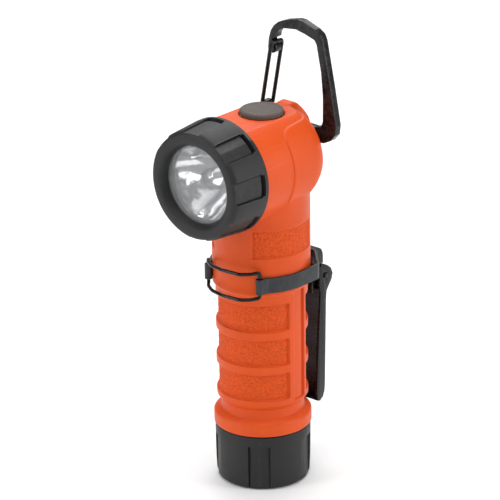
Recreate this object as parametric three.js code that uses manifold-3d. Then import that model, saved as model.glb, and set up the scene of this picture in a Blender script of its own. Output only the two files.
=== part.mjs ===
// Right-angle firefighter's flashlight: a tall battery handle, a head that shines forward, a strap
// with a belt clip round the neck and a carabiner on a lug behind the head.
// Millimetres, +Z up, the beam shines along -Y, the light stands on its tail cap at the origin.
import * as THREE from 'three';
import { mergeVertices } from 'three/addons/utils/BufferGeometryUtils.js';
import Module from 'manifold-3d';

const wasm = await Module();
wasm.setup();

// ---- driving dimensions -------------------------------------------------------------------------
const GAP = 0.3;                 // running gap between neighbouring pieces

const HEAD_Z = 120;              // height of the beam's axis
const HEAD_R = 19.6;             // orange head behind the face cap
const HEAD_BACK = 16.6;          // how far the head reaches behind the handle's axis
const HEAD_BACK_ROUND = 10;      // radius of the head's rounded rear edge
const HEAD_FRONT = 18.8;         // where the orange head ends and the face cap begins
const HEAD_FLAT_Z = 137.2;       // flat on top of the head, round the switch

const NECK_R = 17.5;
const HANDLE_R = 16.45;          // ribs and lands of the grip
const PANEL_R = 15.5;            // floor of the rough grip panels
const CHANNEL_R = 15.75;         // floor of the upright channel on each side
const FLANGE_R = 17.6;
const FLANGE_BOTTOM = 21.1;
const FLANGE_TOP = 25.3;
const WAIST_R = 14.9;            // narrow ring between the flange and the grip
const THREAD_R = 15;             // thread collars are plain cylinders
const COLLAR_BOTTOM = 9;

const PANEL_PITCH = 13.25;       // grip panels repeat up the handle
const PANEL_LOW_Z = 34.4;
const PANEL_HEIGHT = 10.1;
const PANEL_HALF_ANGLE = 77.5;   // front panels, either side of straight ahead
const CHANNEL_ANGLES = [85, 105];
const CHANNEL_Z = [33, 75];
const NECK_PANEL_ANGLES = [30, 118];
const NECK_PANEL_Z = [89.3, 99.6];
const NECK_PANEL_DEPTH = 0.6;
const CHEEK_ANGLES = [41, 150];  // raised shell over each side of the head's rear
const CHEEK_FRONT = 4.6;
const CHEEK_RAISE = 0.45;

const BATTERY_R = 8.5;           // two 17 x 34.5 mm cells, end to end
const BATTERY_LENGTH = 34.5;
const BATTERY_BORE_R = 9;
const BATTERY_LOW_Z = 14;
const BATTERY_GAP = 0.4;
const BORE_TOP = 96;

const CAP_R = 17.2;              // tail cap
const CAP_TOP = 20.8;
const CAP_RECESSES = 5;
const CAP_RECESS_HALF_ANGLE = 13;

const FACE_R = 20.82;            // face cap
const FACE_REAR = 19.15;
const FACE_FRONT = 35.4;
const FACE_SECTORS = 8;
const FACE_TURN = 41.25;         // where the screwed-down cap's first grip recess stands

const LENS_R = 15.4;
const LENS_FRONT = 32.2;
const LENS_THICK = 1.6;
const REFLECTOR_MOUTH_R = 13.5;
const REFLECTOR_FOCUS = 3;
const REFLECTOR_FRONT = 29.5;

const BUTTON_Y = 1;              // switch, on top of the head
const BUTTON_R = 7.75;
const BUTTON_TOP = 139.2;
const SEAT_R = 8.05;
const SEAT_Z = 135.9;
const STEM_R = 5.2;

const STRAP_Z = [76.9, 82.5];
const STRAP_R = 18.1;            // middle of the strap's thickness
const STRAP_THICK = 0.8;
const STRAP_BACK_Y = 19.6;
const KNUCKLE_X = 12;            // strap ends, curled round the wire loop
const KNUCKLE_Y = -14.75;
const KNUCKLE_R = 1.4;
const LOOP_Z = [75.4, 85];
const LOOP_WIRE_R = 0.65;
const LOOP_FRONT_Y = -21.2;

const CLIP_HALF_WIDTH = 8;
const CLIP_WALL = 1;
const CLIP_PIVOT = { y: 26, z: 70.4 };
const CLIP_PIN_R = 1;
const BRACKET_HALF_WIDTH = 6.2;
const BRACKET_PLATE_Y = [20.4, 21.6];
const RIVET_X = [-3.2, 3.2];
const RIVET_Z = 78.8;

const LUG_PIVOT = { y: 19, z: 127.9 };   // eye that the carabiner hangs in
const LUG_HALF_WIDTH = 3.6;
const LUG_EYE_R = 3.6;
const LUG_RELIEF_R = 4.4;
const LUG_RELIEF_HALF_WIDTH = 16;
const CARABINER_THICK = 2.8;
const GATE_WIRE_R = 0.65;
const GATE_HALF_SPREAD = 3;
const GATE_PIVOT = { x: -13, z: 132.6 };
const GATE_TOP = { x: -7.9, z: 157.4 };
const NOSE = { x: -9.8, z: 154.5 };

// ---- shape helpers ------------------------------------------------------------------------------
const RADIANS = Math.PI / 180;

function toSolid(geometry) {
  const bare = geometry.clone();
  bare.deleteAttribute('normal');
  bare.deleteAttribute('uv');
  const merged = mergeVertices(bare, 1e-5);
  return new wasm.Manifold(new wasm.Mesh({
    numProp: 3,
    vertProperties: merged.attributes.position.array,
    triVerts: new Uint32Array(merged.index.array),
  }));
}

function toGeometry(solid) {
  const mesh = solid.getMesh();
  const geometry = new THREE.BufferGeometry();
  geometry.setAttribute('position', new THREE.BufferAttribute(mesh.vertProperties, 3));
  geometry.setIndex(new THREE.BufferAttribute(mesh.triVerts, 1));
  geometry.computeVertexNormals();
  return geometry;
}

const joined = (solids) => solids.reduce((whole, piece) => whole.add(piece));
const cut = (solid, cutters) => cutters.reduce((rest, cutter) => rest.subtract(cutter), solid);

// A turned piece round the upright axis: profile points are [radius, z], outer side going up.
function turned(profile, segments = 32) {
  const points = profile.map(([radius, z]) => new THREE.Vector2(radius, z));
  points.push(points[0].clone());
  return new THREE.LatheGeometry(points, segments).rotateX(Math.PI / 2);
}

// A turned piece round the beam's axis: profile points are [radius, distance forward].
function turnedForward(profile, segments = 32) {
  const points = profile.map(([radius, forward]) => new THREE.Vector2(radius, forward));
  points.push(points[0].clone());
  return new THREE.LatheGeometry(points, segments).rotateX(Math.PI).translate(0, 0, HEAD_Z);
}

function shapeOf(points) {
  return new THREE.Shape(points.map(([u, v]) => new THREE.Vector2(u, v)));
}

// Extrudes a [y, z] outline across the width, from x = -halfWidth to halfWidth.
function acrossWidth(points, halfWidth, bevel = 0) {
  const geometry = new THREE.ExtrudeGeometry(shapeOf(points), {
    depth: 2 * (halfWidth - bevel),
    bevelEnabled: bevel > 0,
    bevelSize: bevel,
    bevelThickness: bevel,
    bevelOffset: -bevel,
    bevelSegments: 3,
    curveSegments: 12,
  });
  const basis = new THREE.Matrix4().makeBasis(
    new THREE.Vector3(0, 1, 0), new THREE.Vector3(0, 0, 1), new THREE.Vector3(1, 0, 0));
  return geometry.applyMatrix4(basis).translate(bevel - halfWidth, 0, 0);
}

// Extrudes an [x, z] outline along the depth, between two y values.
function alongDepth(shape, yFrom, yTo, bevel = 0) {
  const geometry = new THREE.ExtrudeGeometry(shape, {
    depth: yTo - yFrom - 2 * bevel,
    bevelEnabled: bevel > 0,
    bevelSize: bevel,
    bevelThickness: bevel,
    bevelOffset: -bevel,
    bevelSegments: 2,
    curveSegments: 10,
  });
  return geometry.rotateX(Math.PI / 2).translate(0, yTo - bevel, 0);
}

function upright(points, zFrom, zTo) {
  return new THREE.ExtrudeGeometry(shapeOf(points), { depth: zTo - zFrom, bevelEnabled: false })
    .translate(0, 0, zFrom);
}

function rod(radius, length, segments = 20) {
  return new THREE.CylinderGeometry(radius, radius, length, segments);
}

const rodUp = (radius, zFrom, zTo, x = 0, y = 0, segments = 24) =>
  rod(radius, zTo - zFrom, segments).rotateX(Math.PI / 2).translate(x, y, (zFrom + zTo) / 2);
const rodAcross = (radius, halfLength, y, z, segments = 24) =>
  rod(radius, 2 * halfLength, segments).rotateZ(Math.PI / 2).translate(0, y, z);
const rodDeep = (radius, yFrom, yTo, x, z, segments = 24) =>
  rod(radius, yTo - yFrom, segments).translate(x, (yFrom + yTo) / 2, z);

function block(xRange, yRange, zRange) {
  const middle = (range) => (range[0] + range[1]) / 2;
  return new THREE.BoxGeometry(xRange[1] - xRange[0], yRange[1] - yRange[0], zRange[1] - zRange[0])
    .translate(middle(xRange), middle(yRange), middle(zRange));
}

// Outline of a ring sector; angles in degrees from straight ahead (or straight up) towards +X.
function sectorOutline(innerR, outerR, angleFrom, angleTo, place) {
  const steps = Math.max(2, Math.ceil((angleTo - angleFrom) / 7.5));
  const outline = [];
  for (let i = 0; i <= steps; i += 1) {
    outline.push(place(innerR, (angleFrom + (angleTo - angleFrom) * i / steps) * RADIANS));
  }
  for (let i = steps; i >= 0; i -= 1) {
    outline.push(place(outerR, (angleFrom + (angleTo - angleFrom) * i / steps) * RADIANS));
  }
  return outline;
}

function handleSector(innerR, outerR, angles, zRange) {
  const place = (radius, angle) => [radius * Math.sin(angle), -radius * Math.cos(angle)];
  const outline = sectorOutline(innerR, outerR, angles[0], angles[1], place).reverse();
  return toSolid(upright(outline, zRange[0], zRange[1]));
}

function headSector(innerR, outerR, angles, yRange) {
  const place = (radius, angle) => [radius * Math.sin(angle), HEAD_Z + radius * Math.cos(angle)];
  const outline = sectorOutline(innerR, outerR, angles[0], angles[1], place);
  return toSolid(alongDepth(shapeOf(outline), yRange[0], yRange[1]));
}

function ringSection(radius, sides) {
  const section = new THREE.Shape();
  for (let i = 0; i < sides; i += 1) {
    const angle = 2 * Math.PI * i / sides;
    const point = [radius * Math.cos(angle), radius * Math.sin(angle)];
    if (i === 0) section.moveTo(...point);
    else section.lineTo(...point);
  }
  return section;
}

function wire(path, radius, steps, sides = 8) {
  return new THREE.ExtrudeGeometry(ringSection(radius, sides), {
    extrudePath: path, steps, bevelEnabled: false,
  });
}

// A path of straight runs whose corners are rounded to the given reach.
function bentPath(points, reach) {
  const corners = points.map((point) => new THREE.Vector3(...point));
  const path = new THREE.CurvePath();
  let start = corners[0];
  for (let i = 1; i < corners.length - 1; i += 1) {
    const before = corners[i].clone().lerp(corners[i - 1], reach / corners[i].distanceTo(corners[i - 1]));
    const after = corners[i].clone().lerp(corners[i + 1], reach / corners[i].distanceTo(corners[i + 1]));
    path.add(new THREE.LineCurve3(start, before));
    path.add(new THREE.QuadraticBezierCurve3(before, corners[i], after));
    start = after;
  }
  path.add(new THREE.LineCurve3(start, corners[corners.length - 1]));
  return path;
}

class Coil extends THREE.Curve {
  constructor(bottomR, topR, height, turns) {
    super();
    Object.assign(this, { bottomR, topR, height, turns });
  }

  getPoint(t, target = new THREE.Vector3()) {
    const angle = 2 * Math.PI * this.turns * t;
    const radius = this.bottomR + (this.topR - this.bottomR) * t;
    return target.set(radius * Math.cos(angle), radius * Math.sin(angle), this.height * t);
  }
}

// ---- the group and its finishes -----------------------------------------------------------------
const flashlight = new THREE.Group();

const finish = (color, roughness, metalness = 0, opacity = 1) =>
  ({ color, roughness, metalness, opacity, transparent: opacity < 1 });
const ORANGE = finish(0xd8521f, 0.5);
const CHARCOAL = finish(0x2e2e2f, 0.6);
const BLACK_STEEL = finish(0x0c0c0d, 0.3, 0.4);
const STRAP_GREY = finish(0x454b4d, 0.45, 0.2);
const PAD_GREY = finish(0x6b6460, 0.75);
const STEEL = finish(0xa9abad, 0.35, 0.9);
const BRASS = finish(0xc49a4a, 0.4, 0.9);
const BOARD_GREEN = finish(0x1f5a35, 0.6);

function addPiece(name, geometry, look) {
  const mesh = new THREE.Mesh(geometry, new THREE.MeshStandardMaterial(look));
  mesh.name = name;
  flashlight.add(mesh);
}

// ---- housing ------------------------------------------------------------------------------------
function handleBody() {
  const outside = turned([
    [0, COLLAR_BOTTOM], [THREAD_R, COLLAR_BOTTOM], [THREAD_R, FLANGE_BOTTOM],
    [FLANGE_R, FLANGE_BOTTOM], [FLANGE_R, FLANGE_TOP], [FLANGE_R - 0.5, FLANGE_TOP + 0.7],
    [WAIST_R + 0.2, 27.1], [WAIST_R, 28], [WAIST_R, 30.4], [HANDLE_R, 32.2], [HANDLE_R, 74.4],
    [NECK_R, 75.6], [NECK_R, HEAD_Z], [0, HEAD_Z],
  ], 40);
  return toSolid(outside);
}

function gripCutters() {
  const cutters = [];
  for (let row = 0; row < 3; row += 1) {
    const low = PANEL_LOW_Z + row * PANEL_PITCH;
    const zRange = [low, low + PANEL_HEIGHT];
    const backFrom = 190 - PANEL_HALF_ANGLE;
    cutters.push(handleSector(PANEL_R, FLANGE_R, [-PANEL_HALF_ANGLE, PANEL_HALF_ANGLE], zRange));
    cutters.push(handleSector(PANEL_R, FLANGE_R, [backFrom, 360 - backFrom], zRange));
  }
  for (const side of [-1, 1]) {
    const sideways = (angles) => angles.map((angle) => side * angle).sort((a, b) => a - b);
    cutters.push(handleSector(CHANNEL_R, FLANGE_R, sideways(CHANNEL_ANGLES), CHANNEL_Z));
    cutters.push(handleSector(NECK_R - NECK_PANEL_DEPTH, FLANGE_R + 1,
      sideways(NECK_PANEL_ANGLES), NECK_PANEL_Z));
  }
  return cutters;
}

// Side view of the head as [y, z]: flat on top, and drawn in under the back to meet the neck.
const HEAD_SIDE_OUTLINE = [
  [-25, HEAD_FLAT_Z], [-25, 95], [-6, 95], [0, 103.8], [4, 107.8], [7, 110.8], [10, 114.4],
  [12.6, 118], [18, 123], [20, 130], [20, HEAD_FLAT_Z],
];

// Profile of the head behind the face cap, with its rear edge rounded; raise lifts the whole skin.
function headProfile(front, raise) {
  const profile = [[0, -HEAD_BACK - raise]];
  const steps = 5;
  for (let i = 0; i <= steps; i += 1) {
    const angle = (i / steps) * Math.PI / 2;
    profile.push([
      HEAD_R - HEAD_BACK_ROUND + (HEAD_BACK_ROUND + raise) * Math.sin(angle),
      -(HEAD_BACK - HEAD_BACK_ROUND + (HEAD_BACK_ROUND + raise) * Math.cos(angle)),
    ]);
  }
  profile.push([HEAD_R + raise, front], [0, front]);
  return profile;
}

function headBody() {
  const shell = toSolid(turnedForward(headProfile(HEAD_FRONT, 0), 40));
  const raised = toSolid(turnedForward(headProfile(CHEEK_FRONT, CHEEK_RAISE), 40));
  const cheeks = [-1, 1].map((side) => {
    const angles = CHEEK_ANGLES.map((angle) => side * angle).sort((a, b) => a - b);
    return raised.intersect(headSector(4, 30, angles, [-CHEEK_FRONT - 1, 30]));
  });
  const side = toSolid(acrossWidth(HEAD_SIDE_OUTLINE, 25));
  return joined([shell, ...cheeks]).intersect(side);
}

function lugBody() {
  const outline = [
    [8, 135.6], [10.5, 137], [13, 138], [15.4, 138.1], [17.5, 137.1], [19.5, 135.4],
    [21.5, 133.3], [23.4, 131], [24.5, 128.5], [24.5, 126], [23.2, 123.5], [20.8, 121.6],
    [16, 119.6], [8, 119.6],
  ];
  return toSolid(acrossWidth(outline, LUG_HALF_WIDTH, 2));
}

// room beside the lug for the carabiner's foot to turn past the back of the head
function lugRelief() {
  const sweep = toSolid(rodAcross(LUG_RELIEF_R, LUG_RELIEF_HALF_WIDTH, LUG_PIVOT.y, LUG_PIVOT.z));
  const lugRoom = block([-LUG_HALF_WIDTH, LUG_HALF_WIDTH], [HEAD_BACK - 5, 30], [115, 140]);
  return cut(sweep, [toSolid(lugRoom)]);
}

function housing() {
  const faceCollar = toSolid(turnedForward([
    [0, HEAD_FRONT - 2], [17.6, HEAD_FRONT - 2], [17.6, 28.5], [0, 28.5],
  ], 32));
  const body = joined([handleBody(), headBody(), lugBody(), faceCollar]);
  const headBore = toSolid(turnedForward([
    [0, -8], [13, -8], [13, 11], [15.2, 11], [15.2, 30], [0, 30],
  ]));
  const oringGroove = toSolid(turned([[13.4, 16.4], [17, 16.4], [17, 18.6], [13.4, 18.6]]));
  const faceOringGroove = toSolid(turnedForward([[16.4, 20.6], [19, 20.6], [19, 22.4], [16.4, 22.4]]));
  const stripSlot = toSolid(block([-1.6, 1.6], [8, 9.8], [COLLAR_BOTTOM - 1, BORE_TOP]));
  return toGeometry(cut(body, [
    ...gripCutters(),
    headBore,
    toSolid(rodUp(BATTERY_BORE_R, COLLAR_BOTTOM - 1, BORE_TOP, 0, 0, 32)),
    toSolid(rodUp(4, BORE_TOP - 1, HEAD_Z)),
    toSolid(rodUp(SEAT_R, SEAT_Z, HEAD_Z + 30, 0, BUTTON_Y, 32)),
    toSolid(rodUp(STEM_R + 0.35, HEAD_Z, SEAT_Z + 1, 0, BUTTON_Y)),
    toSolid(rodAcross(LUG_EYE_R, 10, LUG_PIVOT.y, LUG_PIVOT.z))
      .intersect(toSolid(block([-9, 9], [HEAD_BACK - 2.2, 30], [120, 140]))),
    lugRelief(), oringGroove, faceOringGroove, stripSlot,
  ]));
}

// ---- head: face cap, lens, reflector and light engine -------------------------------------------
function faceCap() {
  const ring = toSolid(turnedForward([
    [17.95, FACE_REAR], [FACE_R - 0.4, FACE_REAR], [FACE_R, FACE_REAR + 0.4], [FACE_R, 21.2],
    [19.75, FACE_FRONT - 1.5], [18.5, FACE_FRONT], [16, FACE_FRONT], [14.8, FACE_FRONT - 0.7],
    [13.95, LENS_FRONT + GAP], [LENS_R + GAP, LENS_FRONT + GAP], [LENS_R + GAP, 29], [17.95, 29],
  ], 48));
  const cutters = [];
  for (let i = 0; i < FACE_SECTORS; i += 1) {
    const centre = FACE_TURN + i * 360 / FACE_SECTORS;
    const half = 90 / FACE_SECTORS;
    const angles = [centre - half, centre + half];
    cutters.push(headSector(19.1, 24, angles, [-FACE_FRONT - 1, -28]));
    cutters.push(headSector(19.6, 24, angles, [-28.1, -21.2]));
    cutters.push(headSector(18.9, 24, angles, [-22.4, -21]));
  }
  return toGeometry(cut(ring, cutters));
}

function reflectorProfile() {
  const inside = [];
  const steps = 6;
  const throatR = 3.4;
  for (let i = 0; i <= steps; i += 1) {
    const radius = throatR + (REFLECTOR_MOUTH_R - throatR) * i / steps;
    const depth = (REFLECTOR_MOUTH_R ** 2 - radius ** 2) / (4 * REFLECTOR_FOCUS);
    inside.push([radius, REFLECTOR_FRONT - depth]);
  }
  const throat = inside[0][1];
  return [
    [throatR + 1.2, throat], [8, throat + 3.3], [11.6, throat + 8.4], [14.2, REFLECTOR_FRONT - 1.4],
    [14.4, REFLECTOR_FRONT - 0.7], [LENS_R, REFLECTOR_FRONT - 0.7], [LENS_R, REFLECTOR_FRONT],
    ...inside.reverse(),
  ];
}

function addLightEngine() {
  const ledZ = HEAD_Z;
  addPiece('face_cap', faceCap(), CHARCOAL);
  addPiece('lens', turnedForward([
    [0, LENS_FRONT - LENS_THICK], [LENS_R, LENS_FRONT - LENS_THICK], [LENS_R, LENS_FRONT],
    [0, LENS_FRONT],
  ]), finish(0xe8eef0, 0.05, 0, 0.3));
  addPiece('lens_gasket', turnedForward([
    [13.9, REFLECTOR_FRONT + 0.25], [15.2, REFLECTOR_FRONT + 0.25],
    [15.2, LENS_FRONT - LENS_THICK - 0.2], [13.9, LENS_FRONT - LENS_THICK - 0.2],
  ]), CHARCOAL);
  addPiece('reflector', turnedForward(reflectorProfile()), finish(0xe4e6e6, 0.08, 1));
  addPiece('face_oring', new THREE.TorusGeometry(17.15, 0.6, 5, 32).rotateX(Math.PI / 2)
    .translate(0, -21.5, HEAD_Z), CHARCOAL);
  const emitter = joined([
    toSolid(block([-1.75, 1.75], [-15.6, -14.95], [ledZ - 1.75, ledZ + 1.75])),
    toSolid(turnedForward([[0, 15.3], [1.5, 15.3], [1.5, 15.8], [1.1, 16.6], [0.5, 17.1], [0, 17.2]], 16)),
  ]);
  addPiece('led_emitter', toGeometry(emitter), finish(0xe9d77a, 0.2));
  addPiece('led_board', turnedForward([[0, 13.3], [9.5, 13.3], [9.5, 14.65], [0, 14.65]], 32), STEEL);
  const wireHoles = [-4, 4].map((x) => toSolid(rodDeep(0.9, -14, -5, x, HEAD_Z + 6, 12)));
  addPiece('heat_sink', toGeometry(cut(toSolid(turnedForward([
    [0, 6.5], [12.5, 6.5], [12.5, 11.3], [14.9, 11.3], [14.9, 13], [0, 13],
  ], 40)), wireHoles)), STEEL);
  addPiece('driver_board', turnedForward([[0, 4.6], [12.3, 4.6], [12.3, 6.2], [0, 6.2]], 32), BOARD_GREEN);
  [['lead_wire_left', -4], ['lead_wire_right', 4]].forEach(([name, x]) => {
    addPiece(name, rodDeep(0.5, -13, -6.5, x, HEAD_Z + 6, 8), x < 0 ? CHARCOAL : ORANGE);
  });
}

// ---- switch -------------------------------------------------------------------------------------
function addSwitch() {
  const button = turned([
    [0, 132], [STEM_R, 132], [STEM_R, 136.9], [BUTTON_R - 0.3, 136.9], [BUTTON_R, 137.2],
    [BUTTON_R, 138.4], [BUTTON_R - 0.5, 138.95], [BUTTON_R - 1.4, BUTTON_TOP], [0, BUTTON_TOP],
  ], 32).translate(0, BUTTON_Y, 0);
  addPiece('switch_button', button, PAD_GREY);
  addPiece('tactile_switch', block([-3, 3], [BUTTON_Y - 3, BUTTON_Y + 3], [127.4, 130.2]), CHARCOAL);
  addPiece('switch_plunger', rodUp(1.7, 131.1, 131.7, 0, BUTTON_Y, 16), CHARCOAL);
  addPiece('switch_board', block([-6, 6], [-3, 6.5], [125.6, 127.1]), BOARD_GREEN);
  const carrier = toSolid(turnedForward([[0, -7.6], [12.7, -7.6], [12.7, 4.2], [0, 4.2]], 40));
  addPiece('switch_carrier', toGeometry(cut(carrier, [
    toSolid(block([-15, 15], [-15, 15], [125.3, 140])),
    toSolid(block([-7, 7], [-5, 5.5], [100, 124])),
  ])), CHARCOAL);
}

// ---- batteries and contacts ---------------------------------------------------------------------
function addPower() {
  const nubR = 3.2;
  const nub = 1;
  for (let i = 0; i < 2; i += 1) {
    const low = BATTERY_LOW_Z + i * (BATTERY_LENGTH + BATTERY_GAP);
    const top = low + BATTERY_LENGTH;
    addPiece(`battery_${i + 1}`, turned([
      [0, low], [BATTERY_R - 0.4, low], [BATTERY_R, low + 0.4], [BATTERY_R, top - nub - 0.4],
      [BATTERY_R - 0.4, top - nub], [nubR, top - nub], [nubR, top], [0, top],
    ], 24), finish(0x3f4a52, 0.4, 0.3));
  }
  const stackTop = BATTERY_LOW_Z + 2 * BATTERY_LENGTH + BATTERY_GAP;
  const coil = new Coil(3.2, 5.6, 5.4, 3.5);
  addPiece('contact_spring', wire(coil, 0.4, 36, 5).translate(0, 0, stackTop + 0.75), BRASS);
  addPiece('contact_plate', rodUp(8.6, 90.4, 91.6, 0, 0, 32), BRASS);
  addPiece('contact_carrier', turned([[2.5, 91.9], [8.7, 91.9], [8.7, 95.6], [2.5, 95.6]], 32), CHARCOAL);
  addPiece('return_strip', block([-1.3, 1.3], [9.15, 9.5], [COLLAR_BOTTOM + 0.3, 90]), BRASS);
  addPiece('tail_contact', rodUp(8.4, 3.5, 4.3, 0, 0, 32), BRASS);
  addPiece('tail_spring', wire(new Coil(7, 4.2, 8, 4), 0.5, 40, 5).translate(0, 0, 5.1), STEEL);
}

// ---- tail cap -----------------------------------------------------------------------------------
function addTailCap() {
  const shell = toSolid(turned([
    [0, 0], [15.5, 0], [16.3, 0.5], [16.8, 1.8], [CAP_R - 0.1, 10], [CAP_R, CAP_TOP - 0.4],
    [CAP_R - 0.4, CAP_TOP], [THREAD_R + 0.35, CAP_TOP], [THREAD_R + 0.35, 8.6], [10.5, 8.6],
    [10.5, 3.2], [0, 3.2],
  ], 40));
  const recesses = [];
  for (let i = 0; i < CAP_RECESSES; i += 1) {
    const centre = (i + 0.5) * 360 / CAP_RECESSES;
    const angles = [centre - CAP_RECESS_HALF_ANGLE, centre + CAP_RECESS_HALF_ANGLE];
    recesses.push(handleSector(CAP_R - 0.75, CAP_R + 2, angles, [-1, 16.6]));
  }
  addPiece('tail_cap', toGeometry(cut(shell, recesses)), CHARCOAL);
  addPiece('tail_oring', new THREE.TorusGeometry(14.5, 0.75, 5, 32).translate(0, 0, 17.5), CHARCOAL);
}

// ---- strap, wire loop and belt clip -------------------------------------------------------------
// The strap's plan, from one knuckle round the back to the other, at a given offset outwards.
function strapPlan(offset) {
  const half = [];
  for (let angle = 46; angle <= 93; angle += 5.875) {
    half.push([STRAP_R * Math.sin(angle * RADIANS), -STRAP_R * Math.cos(angle * RADIANS)]);
  }
  half.push([18.15, 4.5], [18.15, 8.8], [17.6, 10.4], [9.9, 18.2], [8.8, 19.2], [7.4, STRAP_BACK_Y]);
  const path = [...half, ...half.map(([x, y]) => [-x, y]).reverse()];
  return path.map(([x, y], i) => {
    const before = path[Math.max(i - 1, 0)];
    const after = path[Math.min(i + 1, path.length - 1)];
    const [tx, ty] = [after[0] - before[0], after[1] - before[1]];
    const reach = offset / Math.hypot(tx, ty);
    return [x + ty * reach, y - tx * reach];
  });
}

function strap() {
  const half = STRAP_THICK / 2;
  const outline = [...strapPlan(half), ...strapPlan(-half).reverse()];
  const band = toSolid(upright(outline, ...STRAP_Z));
  const knuckles = [-1, 1].flatMap((side) => {
    const near = [side * (STRAP_R - half) * Math.sin(48 * RADIANS), -(STRAP_R - half) * Math.cos(48 * RADIANS)];
    const far = [side * (STRAP_R + half) * Math.sin(48 * RADIANS), -(STRAP_R + half) * Math.cos(48 * RADIANS)];
    const link = [
      near, far, [side * (KNUCKLE_X + 0.7), KNUCKLE_Y - 0.9], [side * (KNUCKLE_X - 0.1), KNUCKLE_Y + 0.3],
    ];
    const wound = side > 0 ? link.reverse() : link;
    return [
      toSolid(rodUp(KNUCKLE_R, ...STRAP_Z, side * KNUCKLE_X, KNUCKLE_Y, 20)),
      toSolid(upright(wound, ...STRAP_Z)),
    ];
  });
  const holes = [-1, 1].map((side) => (
    toSolid(rodUp(LOOP_WIRE_R + GAP, 70, 90, side * KNUCKLE_X, KNUCKLE_Y, 16))));
  const rivetHoles = RIVET_X.map((x) => toSolid(rodDeep(1.2, 15, 25, x, RIVET_Z, 12)));
  const neckRoom = toSolid(rodUp(NECK_R + 0.2, 70, 90, 0, 0, 64));
  return toGeometry(cut(joined([band, ...knuckles]), [...holes, ...rivetHoles, neckRoom]));
}

function wireLoop() {
  const side = KNUCKLE_X;
  const run = (z, sign) => [
    [sign * side, KNUCKLE_Y, z], [sign > 0 ? 10.6 : -9.8, sign > 0 ? -18 : -17.4, z],
    [sign > 0 ? 7.8 : -5.8, sign > 0 ? -20.6 : -20, z],
  ];
  const [low, high] = LOOP_Z;
  const middle = (low + high) / 2;
  const points = [
    [side, KNUCKLE_Y, middle + 0.3], ...run(high, 1), [0, LOOP_FRONT_Y, high], ...run(high, -1).reverse(),
    ...run(low, -1), [0, LOOP_FRONT_Y, low], ...run(low, 1).reverse(), [side, KNUCKLE_Y, middle - 0.3],
  ];
  return wire(bentPath(points, 1.1), LOOP_WIRE_R, 64, 6);
}

function clipBracket() {
  const [plateIn, plateOut] = BRACKET_PLATE_Y;
  const plate = toSolid(block([-BRACKET_HALF_WIDTH, BRACKET_HALF_WIDTH], BRACKET_PLATE_Y, [64.6, 82.2]));
  const earOutline = [[plateIn, 66.4], [25, 67.6], [27.2, 68.3], [28.2, 70.4], [27.2, 72.5], [25, 73.4], [plateIn, 75]];
  const ears = toSolid(acrossWidth(earOutline, BRACKET_HALF_WIDTH));
  const hood = toSolid(acrossWidth([
    [plateIn, 75.8], [24.6, 75.8], [24.6, 78.8], [24, 80.9], [22.4, 82.2], [plateIn, 82.2],
  ], CLIP_HALF_WIDTH));
  const gap = BRACKET_HALF_WIDTH - 1.2;
  return toGeometry(cut(joined([plate, ears, hood]), [
    toSolid(block([-gap, gap], [plateOut, 30], [60, 75.8])),
    toSolid(block([-6.9, 6.9], [plateOut, 23.6], [75, 80.7])),
    toSolid(rodAcross(CLIP_PIN_R + 0.1, 10, CLIP_PIVOT.y, CLIP_PIVOT.z, 20)),
    ...RIVET_X.map((x) => toSolid(rodDeep(1.2, 15, 22.5, x, RIVET_Z, 12))),
  ]));
}

function clipLever() {
  const outer = [
    [24.6, 75.4], [27.3, 73.9], [29.1, 72.3], [30, 70.2], [29.4, 68], [28, 66.3], [26.4, 64],
    [26.2, 60.6], [25.4, 27.4], [24.5, 23.6], [22.6, 22.2],
  ];
  const inner = [
    [21.2, 22.6], [20.9, 25.8], [22.1, 48.3], [23.2, 64], [22.6, 67], [22.6, 73.5], [23.6, 75.4],
  ];
  const channel = outer.slice(0, -1).map(([y, z]) => [y - CLIP_WALL - 0.1, z]);
  const side = [...outer, ...inner].reverse();
  const hollow = [...channel, [15, 23.6], [15, 78], [channel[0][0], 78]].reverse();
  const nib = toSolid(block([-3, 3], [18.2, 23.2], [22.9, 24.6]));
  const shell = cut(toSolid(acrossWidth(side, CLIP_HALF_WIDTH)), [
    toSolid(acrossWidth(hollow, CLIP_HALF_WIDTH - CLIP_WALL)),
    toSolid(rodAcross(CLIP_PIN_R + 0.1, 10, CLIP_PIVOT.y, CLIP_PIVOT.z, 20)),
  ]);
  return toGeometry(joined([shell, nib]));
}

function addClip() {
  addPiece('strap', strap(), STRAP_GREY);
  addPiece('wire_loop', wireLoop(), BLACK_STEEL);
  addPiece('clip_bracket', clipBracket(), BLACK_STEEL);
  addPiece('clip_lever', clipLever(), BLACK_STEEL);
  const pin = rodAcross(CLIP_PIN_R, CLIP_HALF_WIDTH + 0.5, CLIP_PIVOT.y, CLIP_PIVOT.z, 20);
  addPiece('clip_pin', pin, STEEL);
  const springWire = 0.45;
  const coil = wire(new Coil(2, 2, 6.4, 5), springWire, 40, 5)
    .rotateY(Math.PI / 2).translate(-3.2, CLIP_PIVOT.y, CLIP_PIVOT.z);
  addPiece('clip_spring', coil, STEEL);
  RIVET_X.forEach((x, i) => {
    const rivet = joined([
      toSolid(rodDeep(0.85, 18.2, 22.6, x, RIVET_Z, 12)),
      toSolid(rodDeep(1.6, 17.9, 18.8, x, RIVET_Z, 12)),
      toSolid(rodDeep(1.6, 21.9, 22.7, x, RIVET_Z, 12)),
    ]);
    addPiece(`strap_rivet_${i + 1}`, toGeometry(rivet), STEEL);
  });
}

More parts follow.
